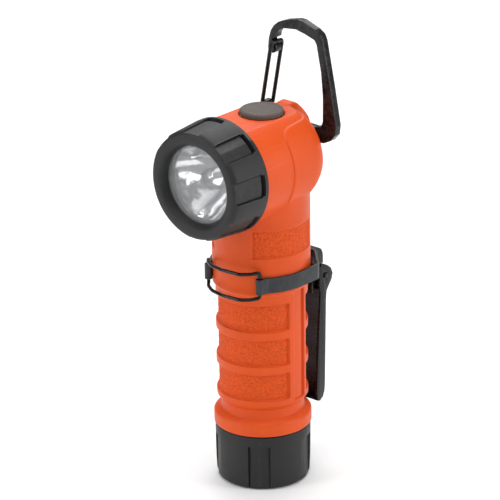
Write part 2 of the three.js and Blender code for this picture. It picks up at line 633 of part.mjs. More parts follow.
// ---- carabiner ----------------------------------------------------------------------------------
// Middle line of the frame from nose to foot: x, z and the width there.
const FRAME_LINE = [
  [NOSE.x, NOSE.z, 3.2], [-10, 157.3, 2], [-8.9, 160.4, 4.2], [-5.6, 163.4, 4.1], [-1.8, 164.8, 3.8],
  [2.8, 165.9, 3.8], [7.6, 164.6, 3.9], [11.6, 162, 4.1], [13.3, 158, 3.8], [14.6, 151, 3.6],
  [16.1, 140, 4.7], [17.1, 133.2, 5.6], [15.9, 128.3, 6], [10.8, 126.9, 5.6], [4.5, 127.4, 4.8],
  [-3, 128.2, 4.8], [-8.8, 129.7, 4.8], [GATE_PIVOT.x, GATE_PIVOT.z, 4.4],
];

function carabinerFrame() {
  const line = new THREE.CatmullRomCurve3(
    FRAME_LINE.map(([x, z]) => new THREE.Vector3(x, 0, z)), false, 'centripetal');
  const samples = 2 * (FRAME_LINE.length - 1);
  const sideOf = (sign) => {
    const side = [];
    for (let i = 0; i <= samples; i += 1) {
      const t = i / samples;
      const point = line.getPoint(t);
      const tangent = line.getTangent(t);
      const place = t * (FRAME_LINE.length - 1);
      const index = Math.min(Math.floor(place), FRAME_LINE.length - 2);
      const width = FRAME_LINE[index][2] + (FRAME_LINE[index + 1][2] - FRAME_LINE[index][2]) * (place - index);
      side.push([point.x - sign * tangent.z * width / 2, point.z + sign * tangent.x * width / 2]);
    }
    return side;
  };
  const outline = [...sideOf(-1), ...sideOf(1).reverse()];
  const yRange = [LUG_PIVOT.y - CARABINER_THICK / 2, LUG_PIVOT.y + CARABINER_THICK / 2];
  const frame = toSolid(alongDepth(shapeOf(outline), ...yRange, 0.5));
  const ends = [[NOSE.x, NOSE.z, 1.7], [GATE_PIVOT.x, GATE_PIVOT.z, 2.2]].map(([x, z, radius]) => (
    toSolid(rodDeep(radius, yRange[0] + 0.2, yRange[1] - 0.2, x, z, 20))));
  const pivotHole = toSolid(rodDeep(GATE_WIRE_R + 0.1, 10, 30, GATE_PIVOT.x, GATE_PIVOT.z, 16));
  return toGeometry(cut(joined([frame, ...ends]), [pivotHole]));
}

function carabinerGate() {
  const near = LUG_PIVOT.y - GATE_HALF_SPREAD;
  const far = LUG_PIVOT.y + GATE_HALF_SPREAD;
  const { x, z } = GATE_PIVOT;
  const top = [GATE_TOP.x, GATE_TOP.z];
  return wire(bentPath([
    [x, LUG_PIVOT.y - 0.3, z], [x, near, z], [top[0], near, top[1]], [top[0], far, top[1]],
    [x, far, z], [x, LUG_PIVOT.y + 0.3, z],
  ], 1.2), GATE_WIRE_R, 60, 6);
}

addPiece('housing', housing(), ORANGE);
addLightEngine();
addSwitch();
addPower();
addTailCap();
addClip();
addPiece('carabiner_frame', carabinerFrame(), BLACK_STEEL);
addPiece('carabiner_gate', carabinerGate(), BLACK_STEEL);

export default flashlight;
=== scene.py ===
from math import atan2, cos, degrees, hypot, inf, pi, radians, sin

import bpy
from bpy.props import FloatProperty, FloatVectorProperty, PointerProperty
from mathutils import Matrix, Vector, noise


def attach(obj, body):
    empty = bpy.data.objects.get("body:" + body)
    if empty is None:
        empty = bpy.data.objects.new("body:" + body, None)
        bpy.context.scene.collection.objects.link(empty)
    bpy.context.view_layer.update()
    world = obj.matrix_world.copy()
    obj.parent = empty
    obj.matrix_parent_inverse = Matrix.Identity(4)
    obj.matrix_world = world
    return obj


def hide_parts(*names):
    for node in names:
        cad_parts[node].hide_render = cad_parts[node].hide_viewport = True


bl_info = {
    "name": "Firefighter's Flashlight",
    "version": (1, 0, 0),
    "blender": (4, 5, 0),
    "location": "View3D > Sidebar > Flashlight",
    "description": "Models a right-angle firefighter's flashlight with a belt clip and a carabiner",
    "category": "Add Mesh",
}

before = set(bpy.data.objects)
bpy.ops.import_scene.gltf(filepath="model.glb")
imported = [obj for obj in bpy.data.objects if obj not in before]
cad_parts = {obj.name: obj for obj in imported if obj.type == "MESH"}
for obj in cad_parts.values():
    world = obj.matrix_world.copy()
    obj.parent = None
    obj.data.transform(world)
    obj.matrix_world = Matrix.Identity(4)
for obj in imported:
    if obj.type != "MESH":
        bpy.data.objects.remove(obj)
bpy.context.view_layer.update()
MM = 0.001


# ---- sizes and colours --------------------------------------------------------------------------

def length(name, millimetres, description):
    return FloatProperty(name=name, description=description, default=millimetres * MM,
                         unit="LENGTH", subtype="DISTANCE", precision=5)


def colour(name, value, description):
    return FloatVectorProperty(name=name, description=description, default=value,
                               subtype="COLOR", size=3, min=0, max=1)


class FlashlightSizes(bpy.types.PropertyGroup):
    """Sizes that a maker would change without changing the light's layout"""
    head_height: length("Head height", 120, "Height of the beam's axis above the tail cap's foot")
    head_radius: length("Head radius", 19.6, "Radius of the orange head behind the face cap")
    neck_radius: length("Neck radius", 17.5, "Radius of the neck under the head")
    grip_radius: length("Grip radius", 16.45, "Radius of the grip's ribs and lands")
    panel_depth: length("Panel depth", 0.95, "How far the rough panels lie under the grip's ribs")
    rough_height: length("Rough texture", 0.16, "Height of the rough panels' moulded texture")
    wire_radius: length("Loop wire radius", 0.65, "Radius of the wire loop's wire")
    gate_radius: length("Gate wire radius", 0.74, "Radius of the carabiner gate's wire")
    carabiner_thickness: length("Carabiner thickness", 2.8, "Thickness of the carabiner's frame")


class FlashlightColours(bpy.types.PropertyGroup):
    """Finishes of the visible pieces"""
    orange: colour("Orange polymer", (0.68, 0.074, 0.004), "Housing")
    charcoal: colour("Charcoal polymer", (0.015, 0.015, 0.0155), "Face cap and tail cap")
    black: colour("Black steel", (0.0025, 0.0025, 0.003), "Clip, wire loop and carabiner")
    strap: colour("Strap steel", (0.024, 0.027, 0.031), "Strap round the neck")
    pad: colour("Button rubber", (0.090, 0.073, 0.064), "Push button")


class FlashlightStage(bpy.types.PropertyGroup):
    """Where the camera stands and what it looks at"""
    azimuth: FloatProperty(name="Azimuth", description="Camera's bearing, from straight ahead",
                           default=radians(41.24), subtype="ANGLE")
    elevation: FloatProperty(name="Elevation", description="Camera's height angle",
                             default=radians(21.45), subtype="ANGLE")
    roll: FloatProperty(name="Roll", description="Camera's lean", default=radians(-0.70),
                        subtype="ANGLE")
    distance: length("Distance", 1191.1, "From the camera to its target")
    focal_length: FloatProperty(name="Focal length", description="Lens, on a 36 mm sensor",
                                default=242.2, min=20, max=500)
    target: FloatVectorProperty(name="Target", description="Point that the camera looks at",
                                default=(-0.002445, -0.00322, 0.08644), subtype="XYZ", precision=5)


# ---- modelling helpers --------------------------------------------------------------------------

def finish_object(name):
    """Names the active object and puts its place in its mesh."""
    piece = bpy.context.object
    piece.name = piece.data.name = name
    bpy.ops.object.transform_apply(location=True, rotation=True, scale=True)
    return piece


def only(piece):
    """Makes a piece the one selected, active object."""
    bpy.ops.object.select_all(action="DESELECT")
    piece.select_set(True)
    bpy.context.view_layer.objects.active = piece


def edit(piece, action="SELECT", kind="VERT"):
    only(piece)
    bpy.ops.object.mode_set(mode="EDIT")
    bpy.ops.mesh.select_mode(type=kind)
    bpy.ops.mesh.select_all(action=action)


def leave_edit():
    bpy.ops.object.mode_set(mode="OBJECT")


def recalculate(piece):
    edit(piece)
    bpy.ops.mesh.remove_doubles(threshold=1e-6)
    bpy.ops.mesh.normals_make_consistent(inside=False)
    leave_edit()


def modify(piece, kind, **settings):
    """Adds a modifier with its settings and applies it."""
    only(piece)
    bpy.ops.object.modifier_add(type=kind)
    modifier = piece.modifiers[-1]
    for key, value in settings.items():
        setattr(modifier, key, value)
    bpy.ops.object.modifier_apply(modifier=modifier.name)
    return piece


def combine(piece, other, operation):
    modify(piece, "BOOLEAN", operation=operation, solver="MANIFOLD", object=other)
    bpy.data.objects.remove(other, do_unlink=True)
    return piece


def cut(piece, *cutters):
    for cutter in cutters:
        combine(piece, cutter, "DIFFERENCE")
    return piece


def add(piece, *others):
    for other in others:
        combine(piece, other, "UNION")
    return piece


def smooth(piece, angle=35):
    only(piece)
    bpy.ops.object.shade_smooth_by_angle(angle=radians(angle))
    return piece


def round_edges(piece, width, segments=2, angle=30):
    """Rounds every edge that is sharper than an angle."""
    return modify(piece, "BEVEL", width=width * MM, segments=segments, limit_method="ANGLE",
                  angle_limit=radians(angle), use_clamp_overlap=True, harden_normals=False)


def drawn(name, points, filled=True):
    """A flat outline through points given in millimetres, drawn from a circle's vertices."""
    bpy.ops.object.select_all(action="DESELECT")
    bpy.ops.mesh.primitive_circle_add(vertices=len(points), radius=1,
                                      fill_type="NGON" if filled else "NOTHING")
    piece = finish_object(name)
    for vertex, point in zip(piece.data.vertices, points):
        vertex.co = Vector(point) * MM
    return piece


def pushed(piece, direction):
    """Extrudes an outline's face into a solid, by a direction in millimetres."""
    edit(piece, kind="FACE")
    bpy.ops.mesh.extrude_region_move(TRANSFORM_OT_translate={"value": Vector(direction) * MM})
    leave_edit()
    recalculate(piece)
    return piece


def spun(piece, centre, axis, angle=360, steps=144):
    """Turns an outline round an axis into a solid, right-handed for a positive angle."""
    edit(piece)
    bpy.ops.mesh.spin(steps=steps, angle=-radians(angle), center=Vector(centre) * MM, axis=axis,
                      use_auto_merge=True)
    leave_edit()
    recalculate(piece)
    return piece


def turned(name, profile, steps=144):
    """A piece turned round the handle's axis, from [radius, height] points."""
    return spun(drawn(name, [(r, 0, z) for r, z in profile], filled=False),
                (0, 0, 0), (0, 0, 1), 360, steps)


def turned_forward(name, profile, steps=144):
    """A piece turned round the beam's axis, from [radius, distance forward] points."""
    height = frame_size("head_height")
    return spun(drawn(name, [(r, -s, height) for r, s in profile], filled=False),
                (0, 0, height), (0, 1, 0), 360, steps)


def frame_size(name):
    """A size from the panel, in millimetres."""
    return getattr(bpy.context.scene.flashlight_sizes, name) / MM


def swept(outline, centre, axis, first, last):
    """Turns an outline from one angle to another, in steps of about 2.5 degrees."""
    return spun(outline, centre, axis, last - first, max(4, int((last - first) / 2.5)))


def ring_block(name, inner, outer, angles, heights):
    """A block that follows the handle's curve between two angles, measured from the front."""
    first, last = angles
    turn = radians(first)
    corners = [(inner, heights[0]), (outer, heights[0]), (outer, heights[1]), (inner, heights[1])]
    outline = drawn(name, [(r * sin(turn), -r * cos(turn), z) for r, z in corners])
    return swept(outline, (0, 0, 0), (0, 0, 1), first, last)


def head_block(name, section, angles):
    """A block that follows the head's curve, from [radius, distance forward] corners."""
    height = frame_size("head_height")
    first, last = angles
    turn = radians(first)
    outline = drawn(name, [(r * sin(turn), -s, height + r * cos(turn)) for r, s in section])
    return swept(outline, (0, 0, height), (0, 1, 0), first, last)


def rod(name, radius, start, end, vertices=48):
    """A plain round bar between two points, in millimetres, for cutting holes and for pins."""
    start, end = Vector(start), Vector(end)
    along = end - start
    bpy.ops.object.select_all(action="DESELECT")
    bpy.ops.mesh.primitive_cylinder_add(
        vertices=vertices, radius=radius * MM, depth=along.length * MM,
        location=(start + end) / 2 * MM, rotation=along.to_track_quat("Z", "Y").to_euler())
    return finish_object(name)


def block(name, low, high):
    """A plain box between two corners, in millimetres, for cutting and joining."""
    low, high = Vector(low), Vector(high)
    bpy.ops.object.select_all(action="DESELECT")
    bpy.ops.mesh.primitive_cube_add(size=1, location=(low + high) / 2 * MM,
                                    scale=(high - low) * MM)
    return finish_object(name)


def side_outline(name, points, half_width):
    """A solid with a side view given as [y, z] points, as wide as twice the half width."""
    outline = drawn(name, [(-half_width, y, z) for y, z in points])
    return pushed(outline, (2 * half_width, 0, 0))


def bent_wire(name, points, radius, reach):
    """Round wire along straight runs with rounded corners, with closed ends."""
    bpy.ops.object.select_all(action="DESELECT")
    bpy.ops.curve.primitive_nurbs_path_add()
    curve = bpy.context.object.data
    curve.splines.clear()
    spline = curve.splines.new("POLY")
    route = rounded_route([Vector(point) for point in points], reach)
    spline.points.add(len(route) - 1)
    for place, point in zip(spline.points, route):
        place.co = (*(point * MM), 1)
    curve.dimensions = "3D"
    curve.bevel_depth = radius * MM
    curve.bevel_resolution = 3
    curve.use_fill_caps = True
    bpy.ops.object.convert(target="MESH")
    piece = finish_object(name)
    recalculate(piece)
    return smooth(piece, 50)


def rounded_route(corners, reach, steps=7):
    route = [corners[0]]
    for before, corner, after in zip(corners, corners[1:], corners[2:]):
        near = min(reach, (before - corner).length * 0.48, (after - corner).length * 0.48)
        start = corner + (before - corner).normalized() * near
        end = corner + (after - corner).normalized() * near
        for i in range(steps + 1):
            t = i / steps
            route.append(start * (1 - t) ** 2 + corner * 2 * t * (1 - t) + end * t ** 2)
    route.append(corners[-1])
    return route


def soften(piece, width, angle=12):
    """Rounds the corners of a plate's outline: the edges that run through its thickness."""
    edit(piece, "DESELECT", "EDGE")
    leave_edit()
    mesh = piece.data
    normals = {}
    for face in mesh.polygons:
        for key in face.edge_keys:
            normals.setdefault(key, []).append(face.normal)
    for line in mesh.edges:
        a, b = (mesh.vertices[i].co for i in line.vertices)
        sides = normals[line.key]
        if len(sides) == 2 and abs((b - a).normalized().y) > 0.99:
            line.select = sides[0].angle(sides[1]) > radians(angle)
    bpy.ops.object.mode_set(mode="EDIT")
    bpy.ops.mesh.bevel(offset=width * MM, segments=3, clamp_overlap=True)
    leave_edit()


def place(piece, body, slot, material, *nodes):
    """Rides a finished piece on its body, in place of the plain nodes it stands for."""
    piece.data.materials.clear()
    piece.data.materials.append(material)
    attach(piece, body)
    if nodes:
        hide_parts(*nodes)
    return piece


# ---- shader groups and materials ----------------------------------------------------------------

def new_group(name, inputs, outputs):
    """An empty shader group with its sockets, and its input and output nodes."""
    group = bpy.data.node_groups.new(name, "ShaderNodeTree")
    for socket, kind, value in inputs:
        made = group.interface.new_socket(socket, in_out="INPUT", socket_type=kind)
        if value is not None:
            made.default_value = value
    for socket, kind in outputs:
        group.interface.new_socket(socket, in_out="OUTPUT", socket_type=kind)
    return group, group.nodes.new("NodeGroupInput"), group.nodes.new("NodeGroupOutput")


def node(tree, kind, **settings):
    made = tree.nodes.new(kind)
    for key, value in settings.items():
        if key == "inputs":
            for socket, default in value.items():
                made.inputs[socket].default_value = default
        else:
            setattr(made, key, value)
    return made


def cloud(tree, place, scale, detail=3, roughness=0.55):
    """A noise texture read at a place."""
    made = node(tree, "ShaderNodeTexNoise",
                inputs={"Scale": scale, "Detail": detail, "Roughness": roughness})
    tree.links.new(place, made.inputs["Vector"])
    return made


def ramp(tree, value, low, high, out_low=0.0, out_high=1.0):
    """Maps a value from one range to another, kept inside it."""
    made = node(tree, "ShaderNodeMapRange", inputs={
        "From Min": low, "From Max": high, "To Min": out_low, "To Max": out_high})
    tree.links.new(value, made.inputs["Value"])
    return made.outputs["Result"]


def math(tree, operation, first, second):
    made = node(tree, "ShaderNodeMath", operation=operation)
    for socket, value in zip(made.inputs, (first, second)):
        if isinstance(value, (int, float)):
            socket.default_value = value
        else:
            tree.links.new(value, socket)
    return made.outputs[0]


def mixed(tree, factor, first, second, blend="MIX"):
    """Mixes two colours by a factor."""
    made = node(tree, "ShaderNodeMix", data_type="RGBA", blend_type=blend)
    for socket, value in zip((made.inputs["Factor"], made.inputs[6], made.inputs[7]),
                             (factor, first, second)):
        if isinstance(value, (int, float, tuple)):
            socket.default_value = value
        else:
            tree.links.new(value, socket)
    return made.outputs[2]


def moulded_surface_group():
    """Slight unevenness of a moulded skin: a shade mask, a roughness mask and a fine height."""
    group, given, made = new_group("Moulded surface", [
        ("Patch Scale", "NodeSocketFloat", 60.0), ("Grain Scale", "NodeSocketFloat", 4000.0),
    ], [("Shade", "NodeSocketFloat"), ("Rough", "NodeSocketFloat"), ("Height", "NodeSocketFloat")])
    place = node(group, "ShaderNodeTexCoord").outputs["Object"]
    patches = cloud(group, place, 60.0, 4)
    group.links.new(given.outputs["Patch Scale"], patches.inputs["Scale"])
    grain = cloud(group, place, 4000.0, 2)
    group.links.new(given.outputs["Grain Scale"], grain.inputs["Scale"])
    group.links.new(ramp(group, patches.outputs["Fac"], 0.3, 0.7), made.inputs["Shade"])
    group.links.new(ramp(group, grain.outputs["Fac"], 0.3, 0.7), made.inputs["Rough"])
    group.links.new(grain.outputs["Fac"], made.inputs["Height"])
    return group


def edge_wear_group():
    """A mask of the outward edges, broken up by noise, where hands have rubbed them."""
    group, given, made = new_group("Edge wear", [
        ("Break-up Scale", "NodeSocketFloat", 500.0),
    ], [("Mask", "NodeSocketFloat")])
    edges = node(group, "ShaderNodeNewGeometry").outputs["Pointiness"]
    place = node(group, "ShaderNodeTexCoord").outputs["Object"]
    patches = cloud(group, place, 500.0, 3)
    group.links.new(given.outputs["Break-up Scale"], patches.inputs["Scale"])
    rubbed = ramp(group, edges, 0.53, 0.62)
    broken = ramp(group, patches.outputs["Fac"], 0.42, 0.62)
    group.links.new(math(group, "MULTIPLY", rubbed, broken), made.inputs["Mask"])
    return group


def dust_group():
    """Fine dust that settles on surfaces that face up."""
    group, given, made = new_group("Dust", [
        ("Speck Scale", "NodeSocketFloat", 900.0),
    ], [("Mask", "NodeSocketFloat")])
    normal = node(group, "ShaderNodeNewGeometry").outputs["Normal"]
    split = node(group, "ShaderNodeSeparateXYZ")
    group.links.new(normal, split.inputs[0])
    place = node(group, "ShaderNodeTexCoord").outputs["Object"]
    specks = cloud(group, place, 900.0, 4, 0.7)
    group.links.new(given.outputs["Speck Scale"], specks.inputs["Scale"])
    up = ramp(group, split.outputs["Z"], 0.3, 1.0)
    group.links.new(math(group, "MULTIPLY", up, ramp(group, specks.outputs["Fac"], 0.5, 0.75)),
                    made.inputs["Mask"])
    return group


GROUPS = {}


def effect(tree, name, **values):
    """Places one of the shared shader groups in a material, with its own values."""
    makers = {"Moulded surface": moulded_surface_group, "Edge wear": edge_wear_group,
              "Dust": dust_group}
    if name not in GROUPS:
        GROUPS[name] = makers[name]()
    made = node(tree, "ShaderNodeGroup", node_tree=GROUPS[name])
    for socket, value in values.items():
        made.inputs[socket.replace("_", " ")].default_value = value
    return made


def new_material(name, **settings):
    """A material with a plain Principled shader and its constant settings."""
    material = bpy.data.materials.new(name)
    material.use_nodes = True
    tree = material.node_tree
    shader = tree.nodes["Principled BSDF"]
    for key, value in settings.items():
        shader.inputs[key.replace("_", " ")].default_value = value
    return material, tree, shader


def bump(tree, shader, height, strength, distance, under=None):
    made = node(tree, "ShaderNodeBump", inputs={"Strength": strength, "Distance": distance})
    tree.links.new(height, made.inputs["Height"])
    if under is not None:
        tree.links.new(under, made.inputs["Normal"])
    tree.links.new(made.outputs["Normal"], shader.inputs["Normal"])
    return made.outputs["Normal"]


def shaded(rgb, factor):
    return (*(min(1.0, channel * factor) for channel in rgb), 1.0)


def tinted(tree, mask, rgb, dark, light):
    """A base colour that drifts between two shades of itself."""
    return mixed(tree, mask, shaded(rgb, dark), shaded(rgb, light))


def moulded_material(name, rgb, roughness, grain=4000.0, strength=0.12, wear=0.25, dust=0.05,
                     **settings):
    """Moulded polymer or rubber: drifting shade, fine grain, rubbed edges and a little dust."""
    material, tree, shader = new_material(name, **settings)
    skin = effect(tree, "Moulded surface", Grain_Scale=grain)
    base = tinted(tree, skin.outputs["Shade"], rgb, 0.9, 1.1)
    worn = effect(tree, "Edge wear")
    base = mixed(tree, math(tree, "MULTIPLY", worn.outputs["Mask"], wear), base,
                 shaded([channel + 0.05 for channel in rgb], 1.7))
    dusty = effect(tree, "Dust")
    base = mixed(tree, math(tree, "MULTIPLY", dusty.outputs["Mask"], dust), base,
                 (0.55, 0.52, 0.48, 1))
    tree.links.new(base, shader.inputs["Base Color"])
    tree.links.new(ramp(tree, skin.outputs["Rough"], 0, 1, roughness - 0.06, roughness + 0.06),
                   shader.inputs["Roughness"])
    bump(tree, shader, skin.outputs["Height"], strength, 0.00008)
    return material


def orange_material(rgb):
    """Orange polymer: smooth satin skin, and darker rough moulding in the grip panels, with painted
    shade in the moulding's pits.
    """
    material, tree, shader = new_material("orange polymer", Specular_IOR_Level=0.28)
    skin = effect(tree, "Moulded surface", Patch_Scale=45.0, Grain_Scale=3000.0)
    rough = node(tree, "ShaderNodeAttribute", attribute_name="rough").outputs["Fac"]
    place = node(tree, "ShaderNodeTexCoord").outputs["Object"]
    pits = node(tree, "ShaderNodeTexVoronoi", feature="F1",
                inputs={"Scale": 1150.0, "Randomness": 1.0})
    tree.links.new(place, pits.inputs["Vector"])
    crumbs = cloud(tree, place, 1500.0, 3, 0.6)
    height = math(tree, "ADD", pits.outputs["Distance"], crumbs.outputs["Fac"])
    base = tinted(tree, skin.outputs["Shade"], rgb, 0.94, 1.06)
    # Painted shade: the rough panels' colour is darkest in the moulding's pits and lightest on its
    # crumbs, following the same height as the bump.
    pit_shaded_speckle = mixed(tree, ramp(tree, height, 0.6, 1.2), shaded(rgb, 0.80), shaded(rgb, 1.06))
    base = mixed(tree, rough, base, pit_shaded_speckle)
    worn = effect(tree, "Edge wear")
    base = mixed(tree, math(tree, "MULTIPLY", worn.outputs["Mask"], 0.16), base,
                 (0.85, 0.27, 0.10, 1))
    dusty = effect(tree, "Dust")
    base = mixed(tree, math(tree, "MULTIPLY", dusty.outputs["Mask"], 0.04), base,
                 (0.75, 0.62, 0.52, 1))
    tree.links.new(base, shader.inputs["Base Color"])
    satin = ramp(tree, skin.outputs["Rough"], 0, 1, 0.40, 0.50)
    coarse = ramp(tree, rough, 0, 1, 0, 0.22)
    tree.links.new(math(tree, "ADD", satin, coarse), shader.inputs["Roughness"])
    fine = bump(tree, shader, skin.outputs["Height"], 0.06, 0.00008)
    bump(tree, shader, math(tree, "MULTIPLY", height, rough), 0.75, 0.00032, fine)
    return material


def enamel_material(name, rgb, roughness):
    """Black or grey finish over steel: fine orange peel, and bare glints on rubbed edges."""
    material, tree, shader = new_material(name, Specular_IOR_Level=0.3)
    skin = effect(tree, "Moulded surface", Patch_Scale=90.0, Grain_Scale=1800.0)
    base = tinted(tree, skin.outputs["Shade"], rgb, 0.8, 1.2)
    worn = effect(tree, "Edge wear")
    base = mixed(tree, math(tree, "MULTIPLY", worn.outputs["Mask"], 0.3), base,
                 (0.05, 0.05, 0.053, 1))
    tree.links.new(base, shader.inputs["Base Color"])
    tree.links.new(ramp(tree, skin.outputs["Rough"], 0, 1, roughness - 0.03, roughness + 0.03),
                   shader.inputs["Roughness"])
    bump(tree, shader, skin.outputs["Height"], 0.03, 0.00004)
    return material


def metal_material(name, rgb, roughness, scratches=900.0, strength=0.05):
    """Bare metal with fine scratches and drifting polish."""
    material, tree, shader = new_material(name, Metallic=1.0)
    place = node(tree, "ShaderNodeTexCoord").outputs["Object"]
    stretch = node(tree, "ShaderNodeMapping", inputs={"Scale": (1.0, 1.0, 9.0)})
    tree.links.new(place, stretch.inputs["Vector"])
    lines = cloud(tree, stretch.outputs["Vector"], scratches, 4, 0.65)
    skin = effect(tree, "Moulded surface", Patch_Scale=120.0)
    tree.links.new(tinted(tree, skin.outputs["Shade"], rgb, 0.88, 1.08),
                   shader.inputs["Base Color"])
    tree.links.new(ramp(tree, lines.outputs["Fac"], 0.35, 0.65, roughness - 0.06,
                        roughness + 0.1), shader.inputs["Roughness"])
    bump(tree, shader, lines.outputs["Fac"], strength, 0.00005)
    return material


def reflector_material():
    """Bright metallised bowl, with a slow swell and faint orange peel in its skin."""
    material, tree, shader = new_material("metallised reflector", Metallic=1.0)
    place = node(tree, "ShaderNodeTexCoord").outputs["Object"]
    swell = cloud(tree, place, 150.0, 2, 0.4)
    peel = cloud(tree, place, 900.0, 2, 0.5)
    base = mixed(tree, ramp(tree, swell.outputs["Fac"], 0.35, 0.65),
                 (0.66, 0.67, 0.68, 1), (0.86, 0.87, 0.87, 1))
    tree.links.new(base, shader.inputs["Base Color"])
    tree.links.new(ramp(tree, peel.outputs["Fac"], 0.3, 0.7, 0.05, 0.14),
                   shader.inputs["Roughness"])
    waves = bump(tree, shader, swell.outputs["Fac"], 0.4, 0.0006)
    bump(tree, shader, peel.outputs["Fac"], 0.03, 0.0001, waves)
    return material


def lens_material():
    """Clear coated lens: mostly see-through, with a faint film."""
    material, tree, shader = new_material("clear lens", Roughness=0.04, IOR=1.49,
                                          Specular_IOR_Level=0.5, Coat_Weight=0.6,
                                          Coat_Roughness=0.03)
    place = node(tree, "ShaderNodeTexCoord").outputs["Object"]
    film = cloud(tree, place, 160.0, 3, 0.5)
    tree.links.new(mixed(tree, film.outputs["Fac"], (0.90, 0.93, 0.95, 1), (0.97, 0.98, 1, 1)),
                   shader.inputs["Base Color"])
    tree.links.new(ramp(tree, film.outputs["Fac"], 0.3, 0.7, 0.10, 0.16), shader.inputs["Alpha"])
    return material


MATERIALS = {}


def material(name):
    """Each material, made the first time that a piece asks for it."""
    tones = bpy.context.scene.flashlight_colours
    makers = {
        "orange": lambda: orange_material(tones.orange),
        "charcoal": lambda: moulded_material("charcoal polymer", tones.charcoal, 0.5, 2600.0,
                                             0.2, 0.08, 0.02, Specular_IOR_Level=0.32),
        "black": lambda: enamel_material("black enamel", tones.black, 0.26),
        "strap": lambda: enamel_material("strap steel", tones.strap, 0.42),
        "pad": lambda: moulded_material("button rubber", tones.pad, 0.72, 2200.0, 0.35, 0.2, 0.12),
        "seal": lambda: moulded_material("seal rubber", (0.012, 0.012, 0.012), 0.5),
        "polymer": lambda: moulded_material("black polymer", (0.02, 0.02, 0.02), 0.55),
        "red": lambda: moulded_material("red insulation", (0.4, 0.012, 0.008), 0.4),
        "sleeve": lambda: moulded_material("cell sleeve", (0.055, 0.075, 0.095), 0.3, 1500.0),
        "board": lambda: moulded_material("solder mask", (0.012, 0.085, 0.03), 0.35, 1800.0),
        "phosphor": lambda: moulded_material("phosphor", (0.85, 0.72, 0.25), 0.15, 3000.0, 0.05),
        "brass": lambda: metal_material("contact brass", (0.78, 0.55, 0.25), 0.28),
        "steel": lambda: metal_material("spring steel", (0.56, 0.57, 0.58), 0.3),
        "aluminium": lambda: metal_material("turned aluminium", (0.72, 0.73, 0.74), 0.35),
        "reflector": reflector_material,
        "lens": lens_material,
    }
    if name not in MATERIALS:
        MATERIALS[name] = makers[name]()
    return MATERIALS[name]


# ---- housing ------------------------------------------------------------------------------------

PANEL_ROWS = [(34.4 + row * 13.25, 44.5 + row * 13.25) for row in range(3)]
PANEL_HALF_ANGLE = 77.5
GRIP_TOP = 80
NECK_TOP = 105
SKIN_RADIUS = 13
CUTTER_RADIUS = 19
CHANNEL = {"angles": (85, 105), "heights": (33, 75)}
GROOVE = {"angles": (103, 106.5), "heights": (33, 75)}
NECK_PANEL = {"angles": (30, 118), "heights": (89.3, 99.6)}
BUTTON_CENTRE = (0, 1)
BUTTON_SEAT_RADIUS = 8.1
STEM_HOLE_RADIUS = 5.55
BATTERY_BORE_RADIUS = 9
WIRE_PASSAGE_RADIUS = 4
LUG_EYE = (19, 127.9)
EYE_RADIUS = 3.6
LUG_HALF_WIDTH = 3.6
RELIEF_RADIUS = 4.4
RELIEF_REACH = 16
REAR_PANEL_ANGLES = (112.5, 247.5)
HOUSING_VOXEL = 0.24
TRIANGLE_LIMIT = 190000


def handle_shape():
    """The upright handle and neck, with its sunk panels, side channels and grooves."""
    grip, neck = frame_size("grip_radius"), frame_size("neck_radius")
    shape = turned("housing", [
        (0.0, 9), (14.7, 9), (15, 9.4), (15, 21.1), (17.6, 21.1), (17.6, 25.3), (17.1, 26.0),
        (15.1, 27.1), (14.9, 28.0), (14.9, 30.4), (grip, 32.2), (grip, 74.4),
        (neck, 75.6), (neck, 120), (0.0, 120),
    ], 180)
    floor = grip - frame_size("panel_depth")
    cutters = []
    for low, high in PANEL_ROWS:
        cutters.append(ring_block("panel", floor, CUTTER_RADIUS,
                                  (-PANEL_HALF_ANGLE, PANEL_HALF_ANGLE), (low, high)))
        cutters.append(ring_block("panel", floor, CUTTER_RADIUS, REAR_PANEL_ANGLES,
                                  (low, high)))
    for side in (-1, 1):
        for name, inner, recess in (("channel", 15.75, CHANNEL), ("groove", 15.2, GROOVE),
                                    ("neck panel", neck - 0.6, NECK_PANEL)):
            angles = sorted(side * angle for angle in recess["angles"])
            cutters.append(ring_block(name, inner, CUTTER_RADIUS, angles, recess["heights"]))
    return cut(shape, *cutters)


def head_profile(front, lift):
    """Half outline of the head behind the face cap, with its rear edge rounded."""
    radius, back, corner, steps = frame_size("head_radius"), 16.6, 10, 12
    outline = [(0.0, -back - lift)]
    for step in range(steps + 1):
        turn = radians(90 * step / steps)
        outline.append((radius - corner + (corner + lift) * sin(turn),
                        -(back - corner + (corner + lift) * cos(turn))))
    return outline + [(radius + lift, front), (0.0, front)]


def intersected(piece, other):
    return combine(piece, other, "INTERSECT")


def head_shape():
    """The head's shell with its raised rear cheeks, trimmed to its side view."""
    shell = turned_forward("head", head_profile(18.8, 0), 144)
    raised = turned_forward("raised shell", head_profile(4.6, 0.5), 144)
    cheek_outline = [
        (-4.6, 109.5), (-4.6, 130.6), (-4.1, 132.6), (-2.7, 134.2), (-0.6, 135.0),
        (24, 136.4), (24, 103), (2.5, 103), (-1.5, 104.5), (-3.8, 106.6),
    ]
    raised = intersected(raised, side_outline("cheek", cheek_outline, 25))
    shell = add(shell, raised)
    side_view = [
        (-25, 137.2), (-25, 95), (-6, 95), (0, 103.8), (4, 107.8), (7, 110.6), (9.4, 114.2),
        (11.8, 118), (17.2, 123), (20, 130), (20, 137.2),
    ]
    return intersected(shell, side_outline("side view", side_view, 25))


def lug_shape():
    """The rounded lug behind the head that the carabiner hangs in, before its eye is bored."""
    lug = side_outline("lug", [
        (8, 135.6), (10.5, 137), (13, 138), (15.4, 138.1), (17.5, 137.1), (19.5, 135.4),
        (21.5, 133.3), (23.3, 131), (24.4, 128.5), (24.4, 126), (23.2, 123.5), (20.8, 121.6),
        (16, 119.6), (8, 119.6),
    ], LUG_HALF_WIDTH)
    return round_edges(lug, 1.9, 4, 50)


